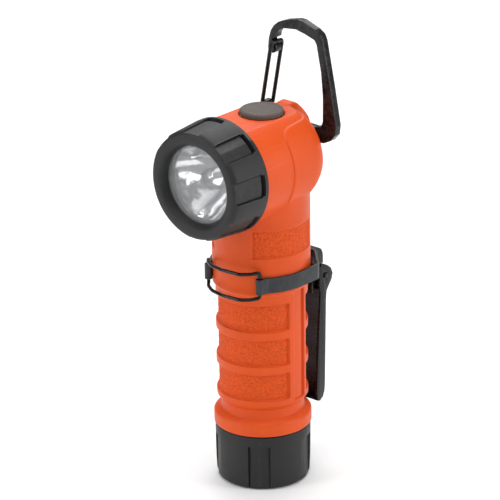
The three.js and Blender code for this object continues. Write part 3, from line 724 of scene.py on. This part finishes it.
def rough_amounts(piece):
    """How much of the moulded rough texture each vertex takes, softly at the panels' borders."""
    def inside(value, low, high, soft):
        return max(0.0, min(1.0, (value - low) / soft, (high - value) / soft))

    amounts = []
    for vertex in piece.data.vertices:
        x, y, z = vertex.co / MM
        amount = 0.0
        if z < NECK_TOP and hypot(x, y) > SKIN_RADIUS:
            angle = abs(degrees(atan2(x, -y)))
            if z < GRIP_TOP:
                across = max(inside(angle, -inf, PANEL_HALF_ANGLE, 2.2),
                             inside(angle, REAR_PANEL_ANGLES[0], inf, 2.2))
                amount = across * max(inside(z, low, high, 0.8) for low, high in PANEL_ROWS)
            else:
                amount = (inside(angle, *NECK_PANEL["angles"], 2.5)
                          * inside(z, *NECK_PANEL["heights"], 0.8))
        amounts.append(amount)
    return amounts


def roughen(piece, amounts):
    """Lifts and lowers the rough panels' skin in small crumbs."""
    height = frame_size("rough_height")
    for vertex, amount in zip(piece.data.vertices, amounts):
        if amount:
            spot = vertex.co / MM
            crumb = noise.noise(spot * 1.25) + 0.6 * noise.noise(spot * 2.4)
            outward = Vector((vertex.co.x, vertex.co.y, 0)).normalized()
            vertex.co += outward * crumb * height * amount * MM


class FLASHLIGHT_OT_housing(bpy.types.Operator):
    """Model the orange housing: handle, neck, head and carabiner lug"""
    bl_idname = "flashlight.housing"
    bl_label = "Housing"
    bl_options = {"REGISTER", "UNDO"}

    def execute(self, context):
        body = add(handle_shape(), head_shape(), lug_shape(),
                   turned_forward("collar", [(0.0, 16.8), (17.6, 16.8), (17.6, 28.3), (0.0, 28.3)]))
        x, y = BUTTON_CENTRE
        cut(body,
            rod("button seat", BUTTON_SEAT_RADIUS, (x, y, 135.9), (x, y, 145), 96),
            rod("stem hole", STEM_HOLE_RADIUS, (x, y, 120), (x, y, 137)),
            rod("eye", EYE_RADIUS, (-9, *LUG_EYE), (9, *LUG_EYE), 64),
            *(rod("relief", RELIEF_RADIUS, (low, *LUG_EYE), (high, *LUG_EYE), 96)
              for low, high in ((-RELIEF_REACH, -LUG_HALF_WIDTH), (LUG_HALF_WIDTH, RELIEF_REACH))),
            rod("battery bore", BATTERY_BORE_RADIUS, (0, 0, 5), (0, 0, 96), 96),
            rod("wire passage", WIRE_PASSAGE_RADIUS, (0, 0, 95), (0, 0, 120)),
            turned_forward("head bore", [(0.0, -8), (13, -8), (13, 11), (15.3, 11), (15.3, 30),
                                         (0.0, 30)]),
            turned_forward("seal groove", [(16.4, 20.6), (19, 20.6), (19, 22.4), (16.4, 22.4)]),
            turned("seal groove", [(13.4, 16.4), (17, 16.4), (17, 18.6), (13.4, 18.6)]))
        modify(body, "REMESH", mode="VOXEL", voxel_size=HOUSING_VOXEL * MM)
        modify(body, "SMOOTH", factor=0.5, iterations=2)
        roughen(body, rough_amounts(body))
        modify(body, "DECIMATE", decimate_type="COLLAPSE",
               ratio=min(1.0, TRIANGLE_LIMIT / (2 * len(body.data.polygons))))
        mask = body.data.attributes.new("rough", "FLOAT", "POINT")
        mask.data.foreach_set("value", rough_amounts(body))
        smooth(body, 60)
        place(body, "body", "orange_polymer", material("orange"), "housing")
        return {"FINISHED"}


# ---- face cap, lens and reflector ---------------------------------------------------------------

FACET_COUNT = 8
FACET_START = 30
FACET_ANGLE = 22.5

class FLASHLIGHT_OT_face_cap(bpy.types.Operator):
    """Model the screw-on face cap with its eight sunk facets"""
    bl_idname = "flashlight.face_cap"
    bl_label = "Face cap"
    bl_options = {"REGISTER", "UNDO"}

    def execute(self, context):
        cap = turned_forward("face_cap_shell", [
            (17.95, 19.15), (20.42, 19.15), (20.82, 19.55), (20.82, 21.2), (20.5, 25),
            (20.12, 29.5), (19.78, 33.7), (19.5, 34.4), (18.9, 35.05), (18.2, 35.4),
            (16.2, 35.4), (15.5, 35.2), (14.9, 34.7), (14.3, 33.5), (13.95, 32.5),
            (15.7, 32.5), (15.7, 29), (17.95, 29),
        ], 192)
        for facet in range(FACET_COUNT):
            first = FACET_START + 360 / FACET_COUNT * facet
            last = first + FACET_ANGLE
            cut(cap, head_block("facet", [(20.05, 22.2), (24, 22.2), (24, 36), (19.0, 36)],
                                (first, last)),
                head_block("slot", [(18.9, 21.0), (24, 21.0), (24, 22.4), (18.9, 22.4)],
                           (first + 0.6, last - 0.6)))
            for edge in (first, last):
                cut(cap, head_block("line", [(19.65, 22.3), (24, 22.3), (24, 33.9), (18.75, 33.9)],
                                    (edge - 0.5, edge + 0.5)))
        round_edges(cap, 0.17, 2, 28)
        smooth(cap, 40)
        place(cap, "face_cap", "charcoal_polymer", material("charcoal"), "face_cap")
        return {"FINISHED"}


class FLASHLIGHT_OT_lens_and_reflector(bpy.types.Operator):
    """Model the clear lens and the metallised reflector"""
    bl_idname = "flashlight.lens_and_reflector"
    bl_label = "Lens and reflector"
    bl_options = {"REGISTER", "UNDO"}

    def execute(self, context):
        throat, mouth, focus, front, steps = 3.4, 13.5, 3.0, 29.5, 32
        bowl = []
        for step in range(steps + 1):
            radius = throat + (mouth - throat) * step / steps
            bowl.append((radius, front - (mouth ** 2 - radius ** 2) / (4 * focus)))
        back = bowl[0][1]
        outside = [
            (14.4, front), (15.3, front), (15.3, 28.8), (14.4, 28.8), (14.2, 28.1),
            (13.2, back + 11), (11.6, back + 8.4), (8, back + 3.3), (throat + 1.2, back)]
        reflector = turned_forward("reflector_bowl", bowl + outside, 128)
        smooth(reflector, 30)
        place(reflector, "face_carriage", "reflector_mirror", material("reflector"), "reflector")

        lens = turned_forward("lens_disc", [
            (0.0, 30.6), (15.2, 30.6), (15.4, 30.8), (15.4, 32.0), (15.2, 32.2), (0.0, 32.2),
        ], 96)
        smooth(lens, 30)
        place(lens, "face_carriage", "lens_clear", material("lens"), "lens")
        return {"FINISHED"}


# ---- push button --------------------------------------------------------------------------------

class FLASHLIGHT_OT_push_button(bpy.types.Operator):
    """Model the rubber push button with its rolled rim and raised ring"""
    bl_idname = "flashlight.push_button"
    bl_label = "Push button"
    bl_options = {"REGISTER", "UNDO"}

    def execute(self, context):
        x, y = BUTTON_CENTRE
        button = turned("push_button", [
            (0.0, 132), (5.0, 132), (5.2, 132.3), (5.2, 136.9), (7.4, 136.9), (7.75, 137.2),
            (7.75, 138.2), (7.6, 138.6), (7.2, 138.9), (6.7, 139.02), (6.3, 138.98),
            (6.0, 138.86), (5.6, 138.84), (5.3, 138.94), (4.6, 139.05), (3.4, 139.12),
            (3.1, 139.19), (2.7, 139.19), (2.4, 139.12), (1.2, 139.14), (0.0, 139.16),
        ], 120)
        edit(button)
        bpy.ops.transform.translate(value=(x * MM, y * MM, 0))
        leave_edit()
        smooth(button, 45)
        place(button, "button", "pad_rubber", material("pad"), "switch_button")
        return {"FINISHED"}


# ---- tail cap -----------------------------------------------------------------------------------

RECESS_COUNT = 5
RECESS_HALF_ANGLE = 13

class FLASHLIGHT_OT_tail_cap(bpy.types.Operator):
    """Model the battery compartment's cap with its five grip recesses"""
    bl_idname = "flashlight.tail_cap"
    bl_label = "Tail cap"
    bl_options = {"REGISTER", "UNDO"}

    def execute(self, context):
        cap = turned("tail_cap_shell", [
            (0.0, 0.4), (9.6, 0.4), (10.0, 0.0), (15.5, 0.0), (16.3, 0.5), (16.8, 1.8), (17.0, 6),
            (17.1, 10), (17.15, 15), (17.2, 20.4), (16.8, 20.8), (15.35, 20.8), (15.35, 8.6),
            (10.5, 8.6), (10.5, 3.2), (0.0, 3.2),
        ], 180)
        for recess in range(RECESS_COUNT):
            middle = 360 / RECESS_COUNT * (recess + 0.5)
            cut(cap, ring_block("recess", 16.4, 20, (middle - RECESS_HALF_ANGLE,
                                                     middle + RECESS_HALF_ANGLE), (-1, 16.6)),
                ring_block("line", 15.8, 20, (middle - 13.8, middle - 12), (-1, 16.9)),
                ring_block("line", 16.1, 20, (middle + 12.2, middle + 13.4), (-1, 16.9)))
        round_edges(cap, 0.18, 2, 28)
        smooth(cap, 40)
        place(cap, "tail_cap", "charcoal_polymer", material("charcoal"), "tail_cap")
        return {"FINISHED"}


# ---- strap, wire loop and belt clip -------------------------------------------------------------

KNUCKLE = {"x": 12.0, "y": -14.75, "radius": 1.4}
STRAP_HEIGHTS = (76.9, 82.5)
STRAP_RADIUS = 18.1
STRAP_HALF_THICKNESS = 0.4
RIVET_SPREAD = 3.2
RIVET_HEIGHT = 78.8
LOOP_HEIGHTS = (75.4, 85.0)
CLIP_PIVOT = (26.0, 70.4)
CLIP_HALF_WIDTH = 8
CLIP_WALL = 1
CLIP_THICKNESS = 1.1
BRACKET_HALF_WIDTH = 6.2


def strap_path():
    """Plan of the strap's middle, from one curled end round the back to the other."""
    turns = [radians(46 + 3.917 * i) for i in range(13)]
    arc = [(STRAP_RADIUS * sin(turn), -STRAP_RADIUS * cos(turn)) for turn in turns]
    half = arc + [(18.15, 4.5), (18.15, 8.4), (18.05, 9.3), (17.8, 10.0), (17.3, 10.7),
                  (10.2, 17.9), (9.4, 18.7), (8.5, 19.35), (7.4, 19.6)]
    return half + [(-x, y) for x, y in reversed(half)]


def beside(path, offset):
    """The same path moved sideways, outwards for a positive offset."""
    moved = []
    for i, (x, y) in enumerate(path):
        before, after = path[max(i - 1, 0)], path[min(i + 1, len(path) - 1)]
        along = Vector((after[0] - before[0], after[1] - before[1])).normalized()
        moved.append((x + along.y * offset, y - along.x * offset))
    return moved


def rivet_hole(px, far):
    """A cutter for a rivet that holds the clip's bracket to the strap."""
    return rod("rivet hole", 1.2, (px, 15, RIVET_HEIGHT), (px, far, RIVET_HEIGHT), 32)


def pin_hole():
    """A cutter for the pin that the clip turns on."""
    return rod("pin hole", 1.1, (-10, *CLIP_PIVOT), (10, *CLIP_PIVOT), 32)


class FLASHLIGHT_OT_strap(bpy.types.Operator):
    """Model the strap round the neck, with its curled ends"""
    bl_idname = "flashlight.strap"
    bl_label = "Strap"
    bl_options = {"REGISTER", "UNDO"}

    def execute(self, context):
        low, high = STRAP_HEIGHTS
        outline = (beside(strap_path(), STRAP_HALF_THICKNESS)
                   + beside(strap_path(), -STRAP_HALF_THICKNESS)[::-1])
        band = pushed(drawn("strap_band", [(px, py, low) for px, py in outline]),
                      (0, 0, high - low))
        for side in (-1, 1):
            turn = radians(49)
            link = [(side * 17.7 * sin(turn), -17.7 * cos(turn)),
                    (side * 18.5 * sin(turn), -18.5 * cos(turn)),
                    (side * (KNUCKLE["x"] + 0.9), KNUCKLE["y"] - 0.75),
                    (side * (KNUCKLE["x"] + 0.1), KNUCKLE["y"] + 0.2)]
            add(band, pushed(drawn("link", [(px, py, low) for px, py in link]),
                             (0, 0, high - low)),
                rod("knuckle", KNUCKLE["radius"], (side * KNUCKLE["x"], KNUCKLE["y"], low),
                    (side * KNUCKLE["x"], KNUCKLE["y"], high), 40))
            cut(band, rod("knuckle bore", 0.95, (side * KNUCKLE["x"], KNUCKLE["y"], 70),
                          (side * KNUCKLE["x"], KNUCKLE["y"], 90), 32),
                rivet_hole(side * RIVET_SPREAD, 25))
        cut(band, rod("neck room", 17.62, (0, 0, 70), (0, 0, 90), 180))
        round_edges(band, 0.14, 2, 35)
        smooth(band, 35)
        place(band, "body", "strap_steel", material("strap"), "strap")
        for number, px in enumerate((-RIVET_SPREAD, RIVET_SPREAD), 1):
            rivet, shank, head = (
                rod(name, radius, (px, inner, RIVET_HEIGHT), (px, outer, RIVET_HEIGHT), 32)
                for name, radius, inner, outer in (
                    (f"rivet_{number}", 1.55, 21.9, 22.65), ("shank", 0.85, 18.3, 22),
                    ("inner head", 1.55, 17.95, 18.75)))
            add(rivet, shank, head)
            round_edges(rivet, 0.22, 3, 35)
            smooth(rivet, 40)
            place(rivet, "body", "spring_steel", material("steel"), f"strap_rivet_{number}")
        return {"FINISHED"}


class FLASHLIGHT_OT_wire_loop(bpy.types.Operator):
    """Model the bent wire loop held by the strap's curled ends"""
    bl_idname = "flashlight.wire_loop"
    bl_label = "Wire loop"
    bl_options = {"REGISTER", "UNDO"}

    def execute(self, context):
        x, y = KNUCKLE["x"], KNUCKLE["y"]
        low, high = LOOP_HEIGHTS
        middle = (low + high) / 2
        right = [(x, y), (10.6, -18.0), (7.8, -20.6)]
        left = [(-5.8, -20.0), (-9.8, -17.4), (-x, y)]
        over = [(px, py, high) for px, py in right + [(0, -21.2)]] + [
            (px, py, high - drop) for (px, py), drop in zip(left, (0.15, 0.45, 0.7))]
        under = [(px, py, low) for px, py in (right + [(0, -21.2)] + left)[::-1]]
        loop = bent_wire("wire_loop_bent",
                         [(x, y, middle + 0.3)] + over + under + [(x, y, middle - 0.3)],
                         frame_size("wire_radius"), 1.1)
        place(loop, "body", "black_steel", material("black"), "wire_loop")
        return {"FINISHED"}


class FLASHLIGHT_OT_belt_clip(bpy.types.Operator):
    """Model the sprung belt clip, its bracket, its pin and its coil spring"""
    bl_idname = "flashlight.belt_clip"
    bl_label = "Belt clip"
    bl_options = {"REGISTER", "UNDO"}

    def execute(self, context):
        outer = [(24.6, 75.4), (27.3, 73.9), (29.1, 72.3), (29.95, 70.2), (29.4, 68), (28, 66.3),
                 (26.5, 64.2), (26.2, 60.6), (25.8, 44), (25.4, 27.4), (25.1, 25.2), (24.3, 23.4),
                 (22.6, 22.2)]
        inner = [(21.2, 22.6), (20.9, 25.8), (22.1, 48.3), (23.2, 64), (22.6, 67), (22.6, 73.5),
                 (23.6, 75.4)]
        channel = [(y - CLIP_THICKNESS, z) for y, z in outer[:-1]]
        lever = side_outline("clip_lever_pressed", outer + inner, CLIP_HALF_WIDTH)
        hollow = channel + [(15, 23.6), (15, 78), (channel[0][0], 78)]
        cut(lever, side_outline("channel", hollow, CLIP_HALF_WIDTH - CLIP_WALL), pin_hole())
        add(lever, block("nib", (-3, 18.3, 22.9), (3, 23.2, 24.6)))
        round_edges(lever, 0.28, 3, 28)
        smooth(lever, 40)
        place(lever, "clip", "black_steel", material("black"), "clip_lever")

        bracket = block("clip_bracket_pressed", (-BRACKET_HALF_WIDTH, 20.4, 64.6),
                        (BRACKET_HALF_WIDTH, 21.6, 82.2))
        ear = [(20.4, 66.4), (25, 67.6), (27.2, 68.3), (28.2, 70.4), (27.2, 72.5), (25, 73.4),
               (20.4, 75)]
        hood = [(20.4, 75.8), (24.55, 75.8), (24.55, 78.8), (24.2, 80.3), (23.5, 81.4),
                (22.4, 82.15), (20.4, 82.2)]
        add(bracket, side_outline("ears", ear, BRACKET_HALF_WIDTH),
            side_outline("hood", hood, CLIP_HALF_WIDTH))
        cut(bracket, block("ear gap", (-5, 21.6, 60), (5, 30, 75.8)),
            block("hood hollow", (-6.9, 21.6, 75), (6.9, 23.6, 80.7)),
            pin_hole(),
            *(rivet_hole(px, 21.7) for px in (-RIVET_SPREAD, RIVET_SPREAD)))
        round_edges(bracket, 0.22, 2, 30)
        smooth(bracket, 40)
        place(bracket, "body", "black_steel", material("black"), "clip_bracket")

        pin = rod("clip_pin_turned", 1.0, (-8.5, *CLIP_PIVOT), (8.5, *CLIP_PIVOT), 32)
        round_edges(pin, 0.25, 3, 35)
        smooth(pin, 40)
        place(pin, "body", "spring_steel", material("black"), "clip_pin")

        y, z = CLIP_PIVOT
        turns, reach, radius, wire, steps = 5, 6.4, 2, 0.4, 120
        coil = [(-reach / 2 + reach * i / steps, y + radius * sin(2 * pi * turns * i / steps),
                 z + radius * cos(2 * pi * turns * i / steps)) for i in range(steps + 1)]
        spring = bent_wire("clip_spring_wound", coil, wire, 0.01)
        place(spring, "body", "spring_steel", material("steel"), "clip_spring")
        return {"FINISHED"}


# ---- carabiner ----------------------------------------------------------------------------------

CORNER_ROUNDING = 0.9
EDGE_ROUNDING = 0.62
GATE_TOP = (-8.2, 157.35)
GATE_HALF_WIDTH = 3
GATE_PIVOT = (-13.0, 132.6)
NOSE = (-9.2, 155.0)
OUTER_EDGE = [
    (-11.1, 154.4), (-10.7, 158.3), (-9.8, 161.3), (-8.4, 163.4), (-6.3, 165.1), (-3.2, 166.3),
    (2.4, 167.6), (4.6, 167.55), (10.5, 165.5), (12.9, 164.0), (13.9, 162.0), (17.2, 146.0),
    (19.85, 131.8), (19.4, 128.4), (17.2, 125.9), (14.3, 124.5), (11.0, 124.15), (4.5, 125.0),
    (-3, 125.8), (-8.8, 127.3), (-12.6, 130.5),
]
INNER_EDGE = [
    (-13.2, 134.5), (-8.2, 132.1), (-3, 130.6), (4.5, 129.8), (10.0, 129.55), (13.0, 130.3),
    (13.9, 132.4), (14.0, 141.5), (13.2, 150.5), (11.2, 160.2), (10.2, 161.7), (6.0, 163.0),
    (1.8, 163.9), (-3.6, 163.3), (-6.0, 162.3), (-7.0, 160.8), (-7.2, 159.3), (-9.1, 158.4),
    (-9.2, 156.6),
]


class FLASHLIGHT_OT_carabiner(bpy.types.Operator):
    """Model the carabiner's frame and its wire gate"""
    bl_idname = "flashlight.carabiner"
    bl_label = "Carabiner"
    bl_options = {"REGISTER", "UNDO"}

    def execute(self, context):
        middle = LUG_EYE[0]
        half = frame_size("carabiner_thickness") / 2
        body = pushed(drawn("carabiner_forged", [(x, middle - half, z) for x, z in
                                                 OUTER_EDGE + INNER_EDGE]), (0, 2 * half, 0))
        for name, radius, (x, z), vertices in (("nose", 1.9, NOSE, 40),
                                               ("foot", 2.2, GATE_PIVOT, 48)):
            add(body, rod(name, radius, (x, middle - half + 0.02, z),
                          (x, middle + half - 0.02, z), vertices))
        soften(body, CORNER_ROUNDING)
        cut(body, rod("gate hole", 0.8, (GATE_PIVOT[0], 10, GATE_PIVOT[1]),
                      (GATE_PIVOT[0], 30, GATE_PIVOT[1]), 24))
        round_edges(body, EDGE_ROUNDING, 3, 50)
        smooth(body, 30)
        place(body, "carabiner", "black_steel", material("black"), "carabiner_frame")

        x, z = GATE_PIVOT
        near, far = middle - GATE_HALF_WIDTH, middle + GATE_HALF_WIDTH
        top_x, top_z = GATE_TOP
        gate = bent_wire("gate_wire_bent", [
            (x, middle - 0.3, z), (x, near, z), (top_x, near, top_z), (top_x, far, top_z),
            (x, far, z), (x, middle + 0.3, z)], frame_size("gate_radius"), 1.6)
        place(gate, "gate", "black_steel", material("black"), "carabiner_gate")
        return {"FINISHED"}


# ---- pieces inside ------------------------------------------------------------------------------

INNER_FINISHES = {
    "seal": ("lens_gasket", "face_oring", "tail_oring"),
    "polymer": ("switch_carrier", "switch_plunger", "tactile_switch", "contact_carrier",
                "lead_wire_left"),
    "red": ("lead_wire_right",),
    "board": ("driver_board", "switch_board"),
    "phosphor": ("led_emitter",),
    "aluminium": ("heat_sink", "led_board"),
    "sleeve": ("battery_1", "battery_2"),
    "brass": ("contact_plate", "contact_spring", "return_strip", "tail_contact"),
    "steel": ("tail_spring",),
}


class FLASHLIGHT_OT_inner_pieces(bpy.types.Operator):
    """Finish the pieces inside the light: cells, contacts, boards, seals and heat sink"""
    bl_idname = "flashlight.inner_pieces"
    bl_label = "Inner pieces"
    bl_options = {"REGISTER", "UNDO"}

    def execute(self, context):
        for finish, names in INNER_FINISHES.items():
            for name in names:
                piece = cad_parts[name]
                piece.data.materials.clear()
                piece.data.materials.append(material(finish))
        return {"FINISHED"}


# ---- stage --------------------------------------------------------------------------------------

def area_light(name, location, target, width, height, power):
    """A rectangular soft light, in metres and watts, turned to face its target."""
    bpy.ops.object.light_add(type="AREA", location=location)
    light = bpy.context.object
    light.name = name
    light.data.shape = "RECTANGLE"
    light.data.size, light.data.size_y = width, height
    light.data.energy = power
    aim = Vector(target) - Vector(location)
    light.rotation_euler = aim.to_track_quat("-Z", "Y").to_euler()


MIDDLE = (0, 0, 0.09)
LIGHTS = (
    ("overhead", (0.0, 0.0, 1.1), MIDDLE, 1.0, 1.0, 8),
    ("backdrop light", (-0.7, 0.9, 1.1), (-0.5, 0.6, 0), 1.2, 1.2, 13),
    ("left softbox", (-0.42, -0.78, 0.42), MIDDLE, 0.35, 0.7, 3.4),
    ("right softbox", (0.86, 0.42, 0.4), MIDDLE, 0.3, 0.7, 4.2),
    ("front fill", (0.45, -0.75, 0.75), MIDDLE, 0.5, 0.5, 1.6),
    ("front strip", (0.78, -0.62, 0.1), MIDDLE, 0.05, 0.5, 0.6),
)


class FLASHLIGHT_OT_stage(bpy.types.Operator):
    """Set the pale floor, the soft studio lights and the camera"""
    bl_idname = "flashlight.stage"
    bl_label = "Stage"
    bl_options = {"REGISTER", "UNDO"}

    def execute(self, context):
        scene = context.scene
        stage = scene.flashlight_stage
        bpy.ops.object.select_all(action="DESELECT")
        bpy.ops.mesh.primitive_plane_add(size=6, location=(0, 0, -0.0002))
        floor = finish_object("studio_floor")
        paper, tree, shader = new_material("white paper", Roughness=0.9, Specular_IOR_Level=0.1)
        spot = node(tree, "ShaderNodeTexCoord").outputs["Object"]
        fibre = cloud(tree, spot, 800.0, 3)
        tree.links.new(tinted(tree, fibre.outputs["Fac"], (1, 1, 1), 0.93, 0.96),
                       shader.inputs["Base Color"])
        floor.data.materials.append(paper)

        world = bpy.data.worlds.new("studio")
        world.use_nodes = True
        backdrop = world.node_tree.nodes["Background"]
        backdrop.inputs["Color"].default_value = (1, 1, 1, 1)
        backdrop.inputs["Strength"].default_value = 0.2
        scene.world = world
        scene.view_settings.view_transform = "Standard"
        for light in LIGHTS:
            area_light(*light)

        a, e, r = stage.azimuth, stage.elevation, stage.roll
        back = Vector((sin(a) * cos(e), -cos(a) * cos(e), sin(e)))
        bpy.ops.object.camera_add(location=Vector(stage.target) + back * stage.distance)
        camera = context.object
        camera.name = "studio camera"
        facing = (-back).to_track_quat("-Z", "Y").to_matrix()
        camera.rotation_euler = (facing @ Matrix.Rotation(r, 3, "Z")).to_euler()
        camera.data.lens = stage.focal_length
        camera.data.sensor_width = 36
        camera.data.clip_end = 20
        scene.camera = camera
        return {"FINISHED"}


class FLASHLIGHT_PT_panel(bpy.types.Panel):
    """Sizes, colours and steps of the flashlight"""
    bl_label = "Flashlight"
    bl_idname = "FLASHLIGHT_PT_panel"
    bl_space_type = "VIEW_3D"
    bl_region_type = "UI"
    bl_category = "Flashlight"

    def draw(self, context):
        scene = context.scene
        for settings in (scene.flashlight_sizes, scene.flashlight_colours, scene.flashlight_stage):
            box = self.layout.box()
            for name in settings.__annotations__:
                box.prop(settings, name)
        for step in STEPS:
            self.layout.operator(step.bl_idname)


STEPS = (
    FLASHLIGHT_OT_housing, FLASHLIGHT_OT_face_cap, FLASHLIGHT_OT_lens_and_reflector,
    FLASHLIGHT_OT_push_button, FLASHLIGHT_OT_tail_cap, FLASHLIGHT_OT_strap,
    FLASHLIGHT_OT_wire_loop, FLASHLIGHT_OT_belt_clip, FLASHLIGHT_OT_carabiner,
    FLASHLIGHT_OT_inner_pieces, FLASHLIGHT_OT_stage,
)
SETTINGS = {"flashlight_sizes": FlashlightSizes, "flashlight_colours": FlashlightColours,
            "flashlight_stage": FlashlightStage}


def register():
    for name, group in SETTINGS.items():
        bpy.utils.register_class(group)
        setattr(bpy.types.Scene, name, PointerProperty(type=group))
    for step in (*STEPS, FLASHLIGHT_PT_panel):
        bpy.utils.register_class(step)


def unregister():
    for step in (FLASHLIGHT_PT_panel, *reversed(STEPS)):
        bpy.utils.unregister_class(step)
    for name, group in SETTINGS.items():
        delattr(bpy.types.Scene, name)
        bpy.utils.unregister_class(group)


def main():
    register()
    for step in STEPS:
        group, name = step.bl_idname.split(".")
        getattr(getattr(bpy.ops, group), name)()


if __name__ == "__main__":
    main()
